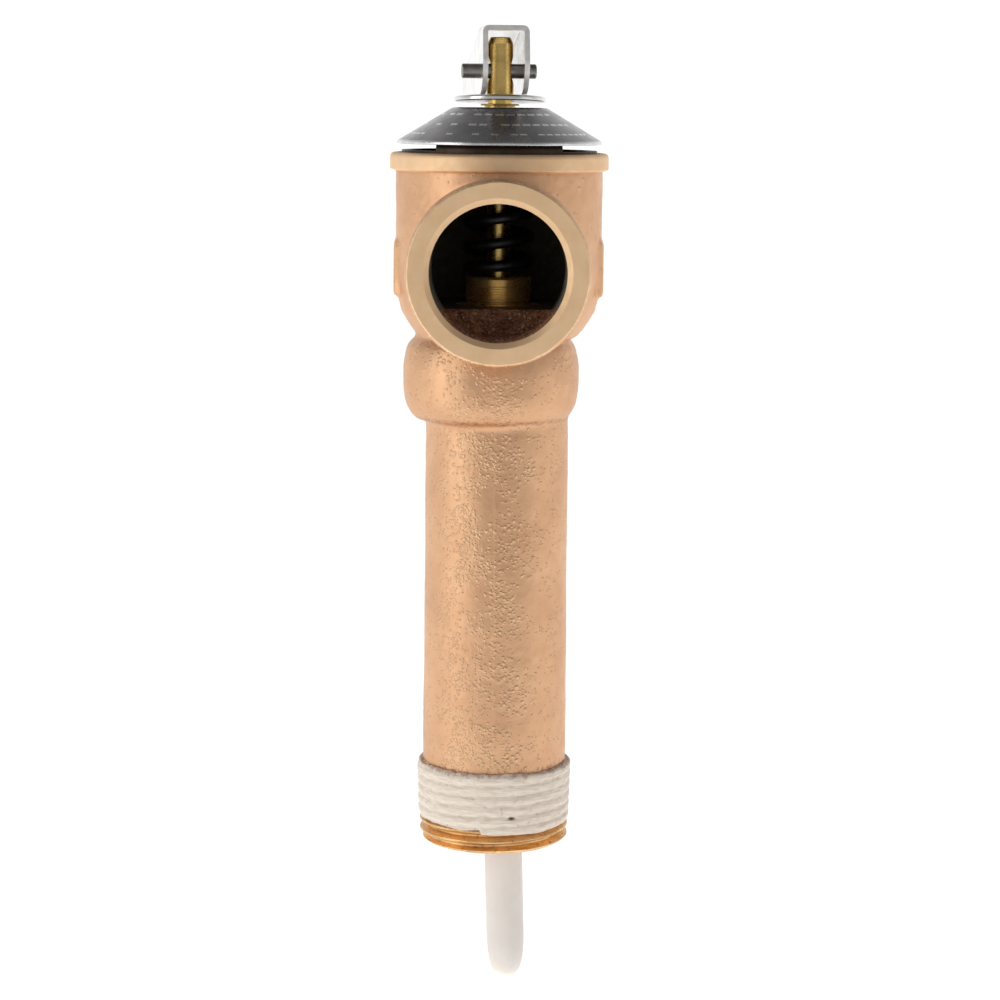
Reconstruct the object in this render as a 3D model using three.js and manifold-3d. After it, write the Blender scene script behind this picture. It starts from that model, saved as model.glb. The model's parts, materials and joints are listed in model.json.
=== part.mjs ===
// Temperature and pressure relief valve for a water heater, with a long shank.
// Millimetres. +Z runs up the valve's axis and the outlet faces -Y.
// The origin is the centre of the inlet's end face.
import * as THREE from "three";
import { mergeVertices } from "three/addons/utils/BufferGeometryUtils.js";
import Module from "manifold-3d";

const wasm = await Module();
wasm.setup();

// ---- Driving dimensions ----------------------------------------------------------------
const GAP = 0.3; // between pieces that touch
const RUNNING = 0.08; // radial clearance of a shaft in its hole
const FINE = 40; // facets round a large turned piece
const COARSE = 24; // facets round a small turned piece
const THREAD_FACETS = 28; // facets in a turn of a thread

// 3/4-14 pipe thread: inlet male, outlet female.
const THREAD = { pitch: 25.4 / 14, depth: 1.32, taper: 1 / 32 };
const INLET = { crest: 12.95, length: 13.5, chamfer: 1.3, bore: 9.25, boreChamfer: 0.45 };
const SHANK = { bottom: 12.55, top: 12.3, end: 73.5, shoulder: 70, upperBore: 8.6, boreEnd: 84 };
const BULGE = { radius: 15.15, offset: -1.1, bottom: 74.3, top: 88.8 };
const CHAMBER = { radius: 17.65, bottom: 88.6, floor: 94.2, bore: 15.4 };
const PADS = { halfWidth: 17.93, depth: 9, bottom: 95.7, top: 105 };
const RIM = { radius: 18.65, bottom: 116.8, top: 120, mouth: 16.95, shoulder: 116.3 };
const OUTLET = { z: 101, face: -27, ring: 15.3, ringDepth: 5.5, neck: 14.4 };
const SOCKET = { crest: 13.1, bore: 11.3, depth: 14, sink: 12.75, sinkDepth: 0.85, throatEnd: -8 };
const SEAT = { top: 93.6, orifice: 3.6, land: 4.4, well: 7, wellFloor: 92.4 };

// Bonnet, nameplate and what holds them.
const BONNET = { radius: 16.65, foot: 13.6, sheet: 1.2, top: 126.6, flat: 7.9, footTop: 117.9, hoopTop: 120.4 };
const STRAP = { halfTop: 10, halfBottom: 10.6 };
const NAMEPLATE = { flat: 8, top: 127.6, radius: 17.45, edge: 121.45, sheet: 0.5, hem: 0.55 };
const EYELET = { tube: 2.6, foot: 4, head: 3.3, footBottom: 124.5, footTop: 125.1, top: 128.2 };
const SPRING_SEAT = { inner: 4.4, outer: 6.6, bottom: 124, top: 125.1 };

// Stem, disc and spring.
const STEM = { radius: 2.05, bottom: 96.9, neck: 2.3, head: 2.2, top: 139.4, flat: 1.58 };
const HOLDER = { radius: 5.6, bottom: 93.95, top: 99, ceiling: 95.8, web: 96.6, recess: 5 };
const DISC = { radius: 4.7, bottom: 93.9, top: 95.5 };
const RETAINER = { radius: 2.9, bottom: 92.8, top: 93.6 };
const SCREW = { shank: 1.2, hole: 1.5, head: 2.3, bottom: 91.3, headTop: 92.5, end: 101.5 };
const SPRING = { radius: 5.2, wire: 0.95, bottom: 99.35, top: 123.7, pitch: 4.2, endPitch: 0.6 };

// Lever, its pin and the washer that its cam bears on.
const LEVER_TURN = THREE.MathUtils.degToRad(6.5); // the tail points back and a little to -X
const PIN = { radius: 1.235, length: 12.8, z: 133.7, chamfer: 0.3 };
const WASHER = { hole: 2.45, radius: 7.9, top: 129.5, bottom: 128.5, sheet: 0.8 };
const LEVER = { width: 7.9, sheet: 0.87, crown: 7.6, front: -6, tail: 29, sole: -3.9 };
const LEVER_TAIL = { top: 0.1, reach: 1.2, corner: 1.8, run: 2.4 }; // its rounded end
const LEVER_SHOULDER = { at: 2.5, drop: 0.25 }; // where the crown turns down to the tail
const CAM_RISE = 2; // lift of the stem in mm for each radian that the lever turns

// Thermal element: a leaning probe that hangs from a frame in the shank.
const PIVOT_Z = 56;
const LEAN = THREE.MathUtils.degToRad(-1.74);
const SHEATH = { radius: 3.325, bore: 2.75, tip: -25.5, boreTip: -22.4, top: 52.5 };
const TUBE = { radius: 2.42, bore: 1.95, bottom: -21.4, wall: 0.8, top: 57 };
const CHARGE = { radius: 1.6, bottom: -20.1, top: 55 };
const CASE = { radius: 4.4, bottom: 53, socketTop: 57.6, sealTop: 61, shoulder: 66.7, top: 73.4 };
const CASE_BORES = { socket: 2.9, seal: 2, neck: 2.7 };
const GUIDE = { ring: 8.95, ringBore: 7.5, hub: 4.6, hubBottom: 67, bottom: 67.7, top: 69.7 };
const NUT = { corner: 4.6, bottom: 70, top: 72.6 };
const SEAL = { radius: 1.7, bottom: 57.9, top: 60.7 };
const PISTON = { radius: 1.2, bottom: 61.3, top: 90 };

const FINISHES = {
  bronze: { color: 0xc99a6b, roughness: 0.45, metalness: 0.9 },
  brass: { color: 0xb8913f, roughness: 0.3, metalness: 1 },
  brightSteel: { color: 0xd6d4d6, roughness: 0.22, metalness: 1 },
  darkSteel: { color: 0x3a3029, roughness: 0.5, metalness: 0.8 },
  springSteel: { color: 0x17161a, roughness: 0.45, metalness: 0.7 },
  pinSteel: { color: 0x77777a, roughness: 0.35, metalness: 1 },
  blackPrint: { color: 0x242428, roughness: 0.4, metalness: 0.3 },
  whiteCoat: { color: 0xeeedea, roughness: 0.45, metalness: 0 },
  copper: { color: 0xb87333, roughness: 0.35, metalness: 1 },
  wax: { color: 0xd8cfae, roughness: 0.7, metalness: 0 },
  rubber: { color: 0x1e1e1e, roughness: 0.85, metalness: 0 },
};

// ---- Solids ----------------------------------------------------------------------------
const signedVolume = (p, tri) => {
  let sum = 0;
  const [a, b, c] = [new THREE.Vector3(), new THREE.Vector3(), new THREE.Vector3()];
  for (let i = 0; i < tri.length; i += 3) {
    a.fromArray(p, 3 * tri[i]);
    b.fromArray(p, 3 * tri[i + 1]);
    c.fromArray(p, 3 * tri[i + 2]);
    sum += a.dot(b.cross(c));
  }
  return sum / 6;
};

// A closed geometry as a solid, with its faces turned outwards.
function solid(geometry) {
  const bare = geometry.clone();
  bare.deleteAttribute("normal");
  bare.deleteAttribute("uv");
  const merged = mergeVertices(bare, 1e-4);
  const vertProperties = new Float32Array(merged.attributes.position.array);
  const corners = merged.index.array;
  const kept = [];
  for (let i = 0; i < corners.length; i += 3) {
    const [a, b, c] = [corners[i], corners[i + 1], corners[i + 2]];
    if (a !== b && b !== c && c !== a) kept.push(a, b, c);
  }
  const triVerts = new Uint32Array(kept);
  if (signedVolume(vertProperties, triVerts) < 0) triVerts.reverse();
  return new wasm.Manifold(new wasm.Mesh({ numProp: 3, vertProperties, triVerts }));
}

const join = (first, ...others) => others.reduce((all, one) => all.add(one), first);
const cut = (first, ...tools) => tools.reduce((rest, tool) => rest.subtract(tool), first);

// Profiles are lists of [radius, z]. A turned piece closes on the axis, a ring on itself.
function turnedGeometry(profile, facets) {
  const points = profile.map(([r, z]) => new THREE.Vector2(r, z));
  return new THREE.LatheGeometry(points, facets).rotateX(Math.PI / 2);
}
const turned = (profile, facets) => solid(turnedGeometry(profile, facets));
const ring = (profile, facets) => turned([...profile, profile[0]], facets);
const rod = (r, z0, z1, facets) => turned([[0, z0], [r, z0], [r, z1], [0, z1]], facets);

function box(x0, x1, y0, y1, z0, z1) {
  const geometry = new THREE.BoxGeometry(x1 - x0, y1 - y0, z1 - z0);
  return solid(geometry.translate((x0 + x1) / 2, (y0 + y1) / 2, (z0 + z1) / 2));
}

// Something turned about Z, moved so that its z = 0 is the outlet's face and +z runs inwards.
const inOutlet = (geometry) => solid(geometry.rotateX(-Math.PI / 2).translate(0, OUTLET.face, OUTLET.z));

// An outline of [across, z] points, pushed through along Y by depth to both sides.
function frontPrism(outline, depth) {
  const shape = new THREE.Shape(outline.map(([x, z]) => new THREE.Vector2(x, z)));
  const geometry = new THREE.ExtrudeGeometry(shape, { depth: 2 * depth, bevelEnabled: false });
  return solid(geometry.translate(0, 0, -depth).rotateX(Math.PI / 2));
}

// A rod with a right-hand V thread. Rows of vertices alternate between root and crest,
// two rows a pitch, and every row climbs one pitch in a turn.
function threadedRodGeometry(crest, taper, start, length) {
  const facets = THREAD_FACETS;
  const rows = 2 * Math.ceil(length / THREAD.pitch);
  const positions = [];
  const offsets = [];
  for (let i = 0; i < facets; i++) {
    offsets.push(positions.length / 3);
    const angle = (2 * Math.PI * i) / facets;
    const rowsHere = i === 0 ? rows + 2 : rows;
    for (let j = 0; j <= rowsHere; j++) {
      const z = start + (j / 2 + i / facets) * THREAD.pitch;
      const r = crest + taper * z - (j % 2 ? 0 : THREAD.depth);
      positions.push(r * Math.cos(angle), r * Math.sin(angle), z);
    }
  }
  const at = (i, j) => (i === facets ? j + 2 : offsets[i] + j);
  const low = positions.length / 3;
  const high = low + 1;
  positions.push(0, 0, start, 0, 0, start + (rows / 2 + 1) * THREAD.pitch);
  const index = [low, at(0, 0), at(0, 1), low, at(0, 1), at(0, 2)];
  index.push(high, at(0, rows + 1), at(0, rows), high, at(0, rows + 2), at(0, rows + 1));
  for (let i = 0; i < facets; i++) {
    index.push(low, at(i + 1, 0), at(i, 0), high, at(i, rows), at(i + 1, rows));
    for (let j = 0; j < rows; j++) {
      index.push(at(i, j), at(i + 1, j), at(i + 1, j + 1));
      index.push(at(i, j), at(i + 1, j + 1), at(i, j + 1));
    }
  }
  const geometry = new THREE.BufferGeometry();
  geometry.setAttribute("position", new THREE.Float32BufferAttribute(positions, 3));
  geometry.setIndex(index);
  return geometry;
}

function meshOf(name, made, finish) {
  const { vertProperties, triVerts } = made.getMesh();
  const geometry = new THREE.BufferGeometry();
  geometry.setAttribute("position", new THREE.BufferAttribute(vertProperties, 3));
  geometry.setIndex(new THREE.BufferAttribute(triVerts, 1));
  const material = new THREE.MeshStandardMaterial({ ...FINISHES[finish], flatShading: true });
  const mesh = new THREE.Mesh(geometry, material);
  mesh.name = name;
  return mesh;
}

// ---- Body ------------------------------------------------------------------------------
function inletThread() {
  const { crest, chamfer, length } = INLET;
  const wide = crest + 1;
  const limit = turned(
    [[0, 0], [crest - chamfer, 0], [crest + 0.1, chamfer], [wide, chamfer], [wide, length - 0.6],
      [SHANK.bottom, length + 0.6], [0, length + 0.6]],
    FINE,
  );
  const start = -THREAD.pitch;
  const blank = threadedRodGeometry(crest, THREAD.taper, start, length + 2 * THREAD.pitch);
  return solid(blank).intersect(limit);
}

function bodyOutside() {
  const shank = turned(
    [[0, INLET.length - 1], [SHANK.bottom, INLET.length - 1], [SHANK.top, SHANK.end],
      [SHANK.top, BULGE.top], [0, BULGE.top]],
    FINE,
  );
  const { radius, offset, bottom, top } = BULGE;
  const bulge = solid(
    turnedGeometry(
      [[0, bottom], [radius - 3, bottom], [radius - 1.5, bottom + 0.9], [radius - 0.4, bottom + 2.8],
        [radius, bottom + 6], [radius, top - 4.5], [radius - 0.7, top - 1.5], [radius - 2.4, top],
        [0, top]],
      FINE,
    ).translate(offset, 0, 0),
  );
  const wide = CHAMBER.radius;
  const floor = CHAMBER.bottom;
  const chamber = turned(
    [[0, floor], [wide - 4.2, floor], [wide - 3.2, floor + 1.1], [wide - 2, floor + 2.8],
      [wide - 1, floor + 4.6], [wide - 0.35, floor + 7.4], [wide, floor + 10.5], [wide, RIM.bottom],
      [RIM.radius, RIM.bottom + 0.4], [RIM.radius, RIM.top - 0.4], [RIM.radius - 0.4, RIM.top],
      [0, RIM.top]],
    FINE,
  );
  const pads = box(-PADS.halfWidth, PADS.halfWidth, -PADS.depth / 2, PADS.depth / 2, PADS.bottom, PADS.top);
  const { ring: outer, ringDepth, neck, face } = OUTLET;
  const boss = inOutlet(
    turnedGeometry(
      [[0, 0], [outer - 0.8, 0], [outer - 0.25, 0.25], [outer, 0.8], [outer, ringDepth],
        [neck, ringDepth + 1.1], [neck, -face], [0, -face]],
      FINE,
    ),
  );
  return join(shank, inletThread(), bulge, chamber, pads, boss);
}

function bodyCavity() {
  const { bore, boreChamfer } = INLET;
  return turned(
    [[0, -1], [bore + boreChamfer, -1], [bore + boreChamfer, 0], [bore, boreChamfer],
      [bore, SHANK.shoulder], [SHANK.upperBore, SHANK.shoulder], [SHANK.upperBore, SHANK.boreEnd],
      [SEAT.orifice, SHANK.boreEnd + 4.5], [SEAT.orifice, SEAT.top], [SEAT.land, SEAT.top],
      [SEAT.land, SEAT.wellFloor], [SEAT.well, SEAT.wellFloor], [SEAT.well, CHAMBER.floor],
      [CHAMBER.bore, CHAMBER.floor], [CHAMBER.bore, RIM.shoulder], [RIM.mouth, RIM.shoulder],
      [RIM.mouth, RIM.top + 1], [0, RIM.top + 1]],
    FINE,
  );
}

function outletSocket() {
  const { crest, bore, depth, sink, sinkDepth, throatEnd } = SOCKET;
  const threadEnd = depth - 0.8;
  const blank = threadedRodGeometry(crest, -THREAD.taper, -THREAD.pitch, depth + THREAD.pitch);
  const limit = turnedGeometry(
    [[0, -1], [crest + 1, -1], [crest + 1, threadEnd], [0, threadEnd]], THREAD_FACETS,
  );
  const thread = inOutlet(blank).intersect(inOutlet(limit));
  const plain = inOutlet(
    turnedGeometry(
      [[0, -1], [sink, -1], [sink, 0], [bore, sinkDepth + 0.6], [bore, depth], [0, depth]], FINE,
    ),
  );
  const reach = throatEnd - OUTLET.face;
  const throat = inOutlet(
    turnedGeometry([[0, depth - 1], [bore - 0.1, depth - 1], [bore - 0.1, reach], [0, reach]], FINE),
  );
  const aboveFloor = box(-RIM.radius, RIM.radius, OUTLET.face, 0, CHAMBER.floor, RIM.bottom);
  return join(thread, plain, throat.intersect(aboveFloor));
}

const valveBody = () => cut(bodyOutside(), bodyCavity(), outletSocket());

// ---- Bonnet and nameplate --------------------------------------------------------------
// Height of the nameplate's upper face at a radius.
const coneSlope = (NAMEPLATE.top - NAMEPLATE.edge - NAMEPLATE.hem) / (NAMEPLATE.radius - NAMEPLATE.flat);
const coneZ = (r) => NAMEPLATE.top - (r - NAMEPLATE.flat) * coneSlope;

function bonnet() {
  const { radius, foot, sheet, top, flat, footTop, hoopTop } = BONNET;
  const under = NAMEPLATE.top - top; // the cone's face above the bonnet's, measured upright
  const shoulder = radius - 0.75;
  const hole = EYELET.tube + GAP;
  const cup = ring(
    [[radius, RIM.shoulder + GAP], [radius, coneZ(radius) - under - 0.75], [shoulder, coneZ(shoulder) - under],
      [flat, top], [hole, top], [hole, top - sheet], [flat - 0.35, top - sheet],
      [radius - 1.7, coneZ(radius - 1.4) - under - sheet], [radius - sheet, coneZ(radius) - under - 1.9],
      [radius - sheet, footTop], [foot, footTop], [foot, RIM.shoulder + GAP]],
    FINE,
  );
  const { halfTop, halfBottom } = STRAP;
  const strap = frontPrism(
    [[-halfBottom, footTop], [halfBottom, footTop], [halfTop, top + 1], [-halfTop, top + 1]],
    radius + 1,
  );
  const hoop = rod(radius + 1, RIM.shoulder, hoopTop, FINE);
  return cup.intersect(join(strap, hoop));
}

function nameplate() {
  const { flat, top, radius, edge, sheet, hem } = NAMEPLATE;
  const hole = EYELET.tube + GAP;
  return ring(
    [[hole, top - sheet], [hole, top], [flat, top], [radius, edge + hem], [radius, edge],
      [radius - 0.35, edge], [radius - 0.55, edge + 0.2], [flat - 0.2, top - sheet]],
    FINE,
  );
}

function bonnetEyelet() {
  const { tube, foot, head, footBottom, footTop, top } = EYELET;
  const bore = STEM.radius + RUNNING;
  const neck = NAMEPLATE.top + GAP;
  return ring(
    [[bore, footBottom], [foot, footBottom], [foot, footTop], [tube, footTop], [tube, neck],
      [head, neck], [head, top], [bore, top]],
    COARSE,
  );
}

function springSeat() {
  const { inner, outer, bottom, top } = SPRING_SEAT;
  return ring([[inner, bottom], [outer, bottom], [outer, top - 0.3], [outer - 0.3, top], [inner, top]], COARSE);
}

// ---- Spring, disc and stem -------------------------------------------------------------
// Centre line of a compression spring: open coils between closed ends.
class SpringLine extends THREE.Curve {
  constructor() {
    super();
    const { wire, bottom, top, pitch, endPitch } = SPRING;
    const open = top - bottom - 2 * wire - (pitch + endPitch);
    this.turns = 2 + open / pitch;
  }
  // Height gained from the start of a closed end, t turns in, for t from 0 to 1.
  closedRise(t) {
    return SPRING.endPitch * t + (SPRING.pitch - SPRING.endPitch) * (t ** 3 - t ** 4 / 2);
  }
  getPoint(share, target = new THREE.Vector3()) {
    const { radius, wire, bottom, top, pitch } = SPRING;
    const t = share * this.turns;
    const left = this.turns - t;
    let z = bottom + wire + this.closedRise(1) + pitch * (t - 1);
    if (t < 1) z = bottom + wire + this.closedRise(t);
    if (left < 1) z = top - wire - this.closedRise(left);
    const angle = Math.PI / 2 + 2 * Math.PI * t;
    return target.set(radius * Math.cos(angle), radius * Math.sin(angle), z);
  }
}

function reliefSpring() {
  const line = new SpringLine();
  const section = new THREE.Shape();
  const sides = 8;
  for (let i = 0; i < sides; i++) {
    const angle = (2 * Math.PI * i) / sides;
    const point = [SPRING.wire * Math.cos(angle), SPRING.wire * Math.sin(angle)];
    if (i === 0) section.moveTo(...point);
    else section.lineTo(...point);
  }
  const steps = Math.round(line.turns * 14);
  return solid(new THREE.ExtrudeGeometry(section, { steps, extrudePath: line, bevelEnabled: false }));
}

function discHolder() {
  const { radius, bottom, top, ceiling, web, recess } = HOLDER;
  const socket = STEM.radius + GAP;
  const lip = bottom + 0.5;
  return ring(
    [[SCREW.hole, ceiling], [recess, ceiling], [recess, bottom], [radius, bottom], [radius, lip],
      [radius - 0.3, lip + 0.1], [radius - 0.3, lip + 0.25], [radius, lip + 0.4], [radius, top - 0.35],
      [radius - 0.35, top], [socket, top], [socket, web], [SCREW.hole, web]],
    COARSE,
  );
}

const washerRing = (hole, radius, bottom, top, facets) =>
  ring([[hole, bottom], [radius, bottom], [radius, top], [hole, top]], facets);

function retainerScrew() {
  const { shank, head, bottom, headTop, end } = SCREW;
  return join(rod(head, bottom, headTop, 6), rod(shank, headTop - 0.2, end, 16));
}

// The stem lies in the lever's own frame: X along the pin, Y along the lever.
function stem() {
  const { radius, bottom, neck, head, top, flat } = STEM;
  const blank = turned(
    [[0, bottom], [radius, bottom], [radius, WASHER.top - 0.6], [neck, WASHER.top + GAP],
      [neck, PIN.z + 2.6], [head, PIN.z + 2.8], [head, top - 1.1], [head - 0.5, top], [0, top]],
    COARSE,
  );
  const side = (sign) =>
    frontPrism(
      [[4 * sign, PIN.z - 2.6], [(neck + 0.1) * sign, PIN.z - 2.4], [flat * sign, PIN.z - 1.4],
        [flat * sign, PIN.z + 1.2], [(neck + 0.1) * sign, PIN.z + 2.5], [4 * sign, PIN.z + 2.7]],
      4,
    );
  const crossHole = pinRod(PIN.radius + RUNNING, 10, 0);
  const tapped = rod(SCREW.hole, bottom - 1, SCREW.end + 0.5, 16);
  return cut(blank, side(1), side(-1), crossHole, tapped);
}

// A rod along X through the pin's centre.
function pinRod(radius, length, chamfer) {
  const half = length / 2;
  const profile = [[0, -half], [radius - chamfer, -half], [radius, chamfer - half],
    [radius, half - chamfer], [radius - chamfer, half], [0, half]];
  const geometry = turnedGeometry(profile, 24);
  return solid(geometry.rotateY(Math.PI / 2).translate(0, 0, PIN.z));
}

// ---- Lever and washer ------------------------------------------------------------------
function leverWasher() {
  const { hole, radius, top, bottom, sheet } = WASHER;
  return ring(
    [[hole, top - sheet], [hole, top - 0.05], [radius * 0.6, top], [radius - 0.3, top - 0.1],
      [radius, top - 0.35], [radius, bottom + 0.15], [radius - 0.3, bottom], [radius * 0.6, top - sheet]],
    FINE,
  );
}

// The cam is the involute that keeps its lowest point CAM_RISE ahead of the pin, so the pin
// rises by CAM_RISE for each radian. Points are [along the lever, up] from the pin's centre.
function camPoint(turn) {
  const reach = -LEVER.sole + CAM_RISE * turn;
  return [
    -reach * Math.sin(turn) - CAM_RISE * Math.cos(turn),
    -reach * Math.cos(turn) + CAM_RISE * Math.sin(turn),
  ];
}

function leverOutline() {
  const { crown, front, tail, sole } = LEVER;
  const { top, reach, corner, run } = LEVER_TAIL;
  const shape = new THREE.Shape();
  const steps = 9;
  shape.moveTo(front, crown);
  for (let i = steps; i >= 0; i--) shape.lineTo(...camPoint(((i / steps) * Math.PI) / 2));
  shape.lineTo(tail - run, sole);
  shape.quadraticCurveTo(tail, sole, tail, sole + corner);
  shape.quadraticCurveTo(tail, -top, tail - reach, top);
  shape.lineTo(LEVER_SHOULDER.at, crown - LEVER_SHOULDER.drop);
  return shape;
}

// The space inside the channel: open below, in front and behind.
function channelOutline() {
  const { crown, front, tail, sole, sheet } = LEVER;
  const { at, drop } = LEVER_SHOULDER;
  const { top, reach } = LEVER_TAIL;
  const beyond = 4;
  const slope = (crown - drop - top) / (tail - reach - at);
  const under = sheet * Math.hypot(1, slope);
  const shape = new THREE.Shape();
  shape.moveTo(front - beyond, crown - sheet);
  shape.lineTo(front - beyond, sole - beyond);
  shape.lineTo(tail + beyond, sole - beyond);
  shape.lineTo(tail + beyond, top - under - slope * (beyond + reach));
  shape.lineTo(at, crown - drop - under);
  shape.lineTo(at - sheet, crown - sheet);
  return shape;
}

// An outline in the lever's side view, pushed through by width, centred on the valve's axis.
function sidePrism(shape, width) {
  const options = { depth: width, bevelEnabled: false, curveSegments: 5 };
  const geometry = new THREE.ExtrudeGeometry(shape, options).translate(0, 0, -width / 2);
  const axes = new THREE.Matrix4().makeBasis(
    new THREE.Vector3(0, 1, 0),
    new THREE.Vector3(0, 0, 1),
    new THREE.Vector3(1, 0, 0),
  );
  return solid(geometry.applyMatrix4(axes).translate(0, 0, PIN.z));
}

function lever() {
  const blank = sidePrism(leverOutline(), LEVER.width);
  const inside = sidePrism(channelOutline(), LEVER.width - 2 * LEVER.sheet);
  return cut(blank, inside, pinRod(PIN.radius + RUNNING, 20, 0));
}

// ---- Thermal element -------------------------------------------------------------------
function probeSheath() {
  const { radius, bore, tip, boreTip, top } = SHEATH;
  return turned(
    [[0, tip], [1, tip], [1.75, tip + 0.6], [2.4, tip + 1.6], [2.8, tip + 2.6], [3.1, tip + 4.2],
      [radius, tip + 6.2], [radius, top], [bore, top], [bore, boreTip], [0, boreTip]],
    COARSE,
  );
}

function sensingTube() {
  const { radius, bore, bottom, wall, top } = TUBE;
  return turned(
    [[0, bottom], [radius - 0.6, bottom], [radius, bottom + 0.6], [radius, top], [bore, top],
      [bore, bottom + wall], [0, bottom + wall]],
    24,
  );
}

function thermostatCase() {
  const { radius, bottom, socketTop, sealTop, shoulder, top } = CASE;
  const { socket, seal, neck } = CASE_BORES;
  const bore = PISTON.radius + RUNNING;
  return ring(
    [[socket, bottom], [radius, bottom], [radius, shoulder], [neck, shoulder], [neck, top],
      [bore, top], [bore, sealTop], [seal, sealTop], [seal, socketTop], [socket, socketTop]],
    24,
  );
}

function thermostatGuide() {
  const { ring: outer, ringBore, hub, hubBottom, bottom, top } = GUIDE;
  const hole = CASE_BORES.neck + GAP;
  const spokes = [0, 1, 2].map((i) => {
    const spoke = new THREE.BoxGeometry(2.4, ringBore - hub + 1.4, top - bottom);
    spoke.translate(0, (ringBore + hub) / 2, (top + bottom) / 2);
    return solid(spoke.rotateZ((i * 2 * Math.PI) / 3));
  });
  return join(
    washerRing(ringBore, outer, bottom, top, COARSE),
    washerRing(hole, hub, hubBottom, top, COARSE),
    ...spokes,
  );
}

function guideNut() {
  const { corner, bottom, top } = NUT;
  return cut(rod(corner, bottom, top, 6), rod(CASE_BORES.neck + GAP, bottom - 1, top + 1, 24));
}

// ---- Assembly --------------------------------------------------------------------------
const valve = new THREE.Group();
valve.name = "pressure_relief_valve";

valve.add(
  meshOf("valve_body", valveBody(), "bronze"),
  meshOf("bonnet", bonnet(), "darkSteel"),
  meshOf("nameplate", nameplate(), "blackPrint"),
  meshOf("bonnet_eyelet", bonnetEyelet(), "brass"),
  meshOf("spring_seat", springSeat(), "darkSteel"),
  meshOf("relief_spring", reliefSpring(), "springSteel"),
  meshOf("disc_holder", discHolder(), "brass"),
  meshOf("seat_disc", washerRing(SCREW.hole, DISC.radius, DISC.bottom, DISC.top, COARSE), "rubber"),
  meshOf(
    "disc_retainer",
    washerRing(SCREW.hole, RETAINER.radius, RETAINER.bottom, RETAINER.top, 24),
    "brass",
  ),
  meshOf("retainer_screw", retainerScrew(), "brass"),
  meshOf("lever_washer", leverWasher(), "brightSteel"),
  meshOf("thermostat_case", thermostatCase(), "brass"),
  meshOf("thermostat_guide", thermostatGuide(), "brass"),
  meshOf("guide_nut", guideNut(), "brass"),
  meshOf("piston_seal", rod(SEAL.radius, SEAL.bottom, SEAL.top, 20), "rubber"),
  meshOf("thermostat_piston", rod(PISTON.radius, PISTON.bottom, PISTON.top, 20), "pinSteel"),
);

// The lever, its pin and the stem's flats share one direction.
const leverGroup = new THREE.Group();
leverGroup.rotation.z = LEVER_TURN;
leverGroup.add(
  meshOf("stem", stem(), "brass"),
  meshOf("lever_pin", pinRod(PIN.radius, PIN.length, PIN.chamfer), "pinSteel"),
  meshOf("lever", lever(), "brightSteel"),
);
valve.add(leverGroup);

// The probe's pieces are made upright and lean together about the pivot.
const probeGroup = new THREE.Group();
probeGroup.position.z = PIVOT_Z;
probeGroup.rotation.y = LEAN;
const probeInside = new THREE.Group();
probeInside.position.z = -PIVOT_Z;
probeInside.add(
  meshOf("probe_sheath", probeSheath(), "whiteCoat"),
  meshOf("sensing_tube", sensingTube(), "copper"),
  meshOf("thermal_charge", rod(CHARGE.radius, CHARGE.bottom, CHARGE.top, 16), "wax"),
);
probeGroup.add(probeInside);
valve.add(probeGroup);

export default valve;
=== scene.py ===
import json
import math

import bmesh
import bpy
from mathutils import Matrix, Vector, noise


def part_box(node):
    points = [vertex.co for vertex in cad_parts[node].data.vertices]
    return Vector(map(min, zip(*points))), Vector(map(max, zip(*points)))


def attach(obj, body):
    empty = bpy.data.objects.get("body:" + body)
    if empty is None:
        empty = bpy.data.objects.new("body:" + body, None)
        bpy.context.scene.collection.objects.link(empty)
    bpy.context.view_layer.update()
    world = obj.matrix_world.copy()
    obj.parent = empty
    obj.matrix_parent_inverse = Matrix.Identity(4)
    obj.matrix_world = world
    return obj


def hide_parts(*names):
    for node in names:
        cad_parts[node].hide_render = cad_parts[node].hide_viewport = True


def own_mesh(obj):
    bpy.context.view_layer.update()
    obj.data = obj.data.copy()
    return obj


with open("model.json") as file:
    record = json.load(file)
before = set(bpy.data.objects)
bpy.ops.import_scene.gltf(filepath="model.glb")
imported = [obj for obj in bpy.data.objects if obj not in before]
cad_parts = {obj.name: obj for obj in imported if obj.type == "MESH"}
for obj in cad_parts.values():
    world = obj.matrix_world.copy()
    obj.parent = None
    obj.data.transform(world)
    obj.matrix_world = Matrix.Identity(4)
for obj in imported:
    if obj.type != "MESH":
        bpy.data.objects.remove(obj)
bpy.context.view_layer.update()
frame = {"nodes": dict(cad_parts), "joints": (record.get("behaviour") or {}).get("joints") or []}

# A bronze temperature and pressure relief valve with a long shank.
# Meshes are worked in millimetres in the frame's axes and become metres when a piece is finished:
# +Z runs up the valve's axis, the outlet faces -Y and the origin is the centre of the inlet's end.
MM = 0.001


def node_box(name):
    """A CAD node's lowest and highest corners in millimetres."""
    low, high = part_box(name)
    return low / MM, high / MM


BODY_LOW, BODY_HIGH = node_box("valve_body")
BONNET_LOW, BONNET_HIGH = node_box("bonnet")
PLATE_LOW, PLATE_HIGH = node_box("nameplate")
EYELET_LOW, EYELET_HIGH = node_box("bonnet_eyelet")
SEAT_RING_LOW, SEAT_RING_HIGH = node_box("spring_seat")
HOLDER_LOW, HOLDER_HIGH = node_box("disc_holder")
STEM_LOW, STEM_HIGH = node_box("stem")
PIN_LOW, PIN_HIGH = node_box("lever_pin")
WASHER_LOW, WASHER_HIGH = node_box("lever_washer")
SHEATH_LOW, SHEATH_HIGH = node_box("probe_sheath")
JOINTS = {joint["name"]: joint for joint in frame["joints"]}

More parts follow.
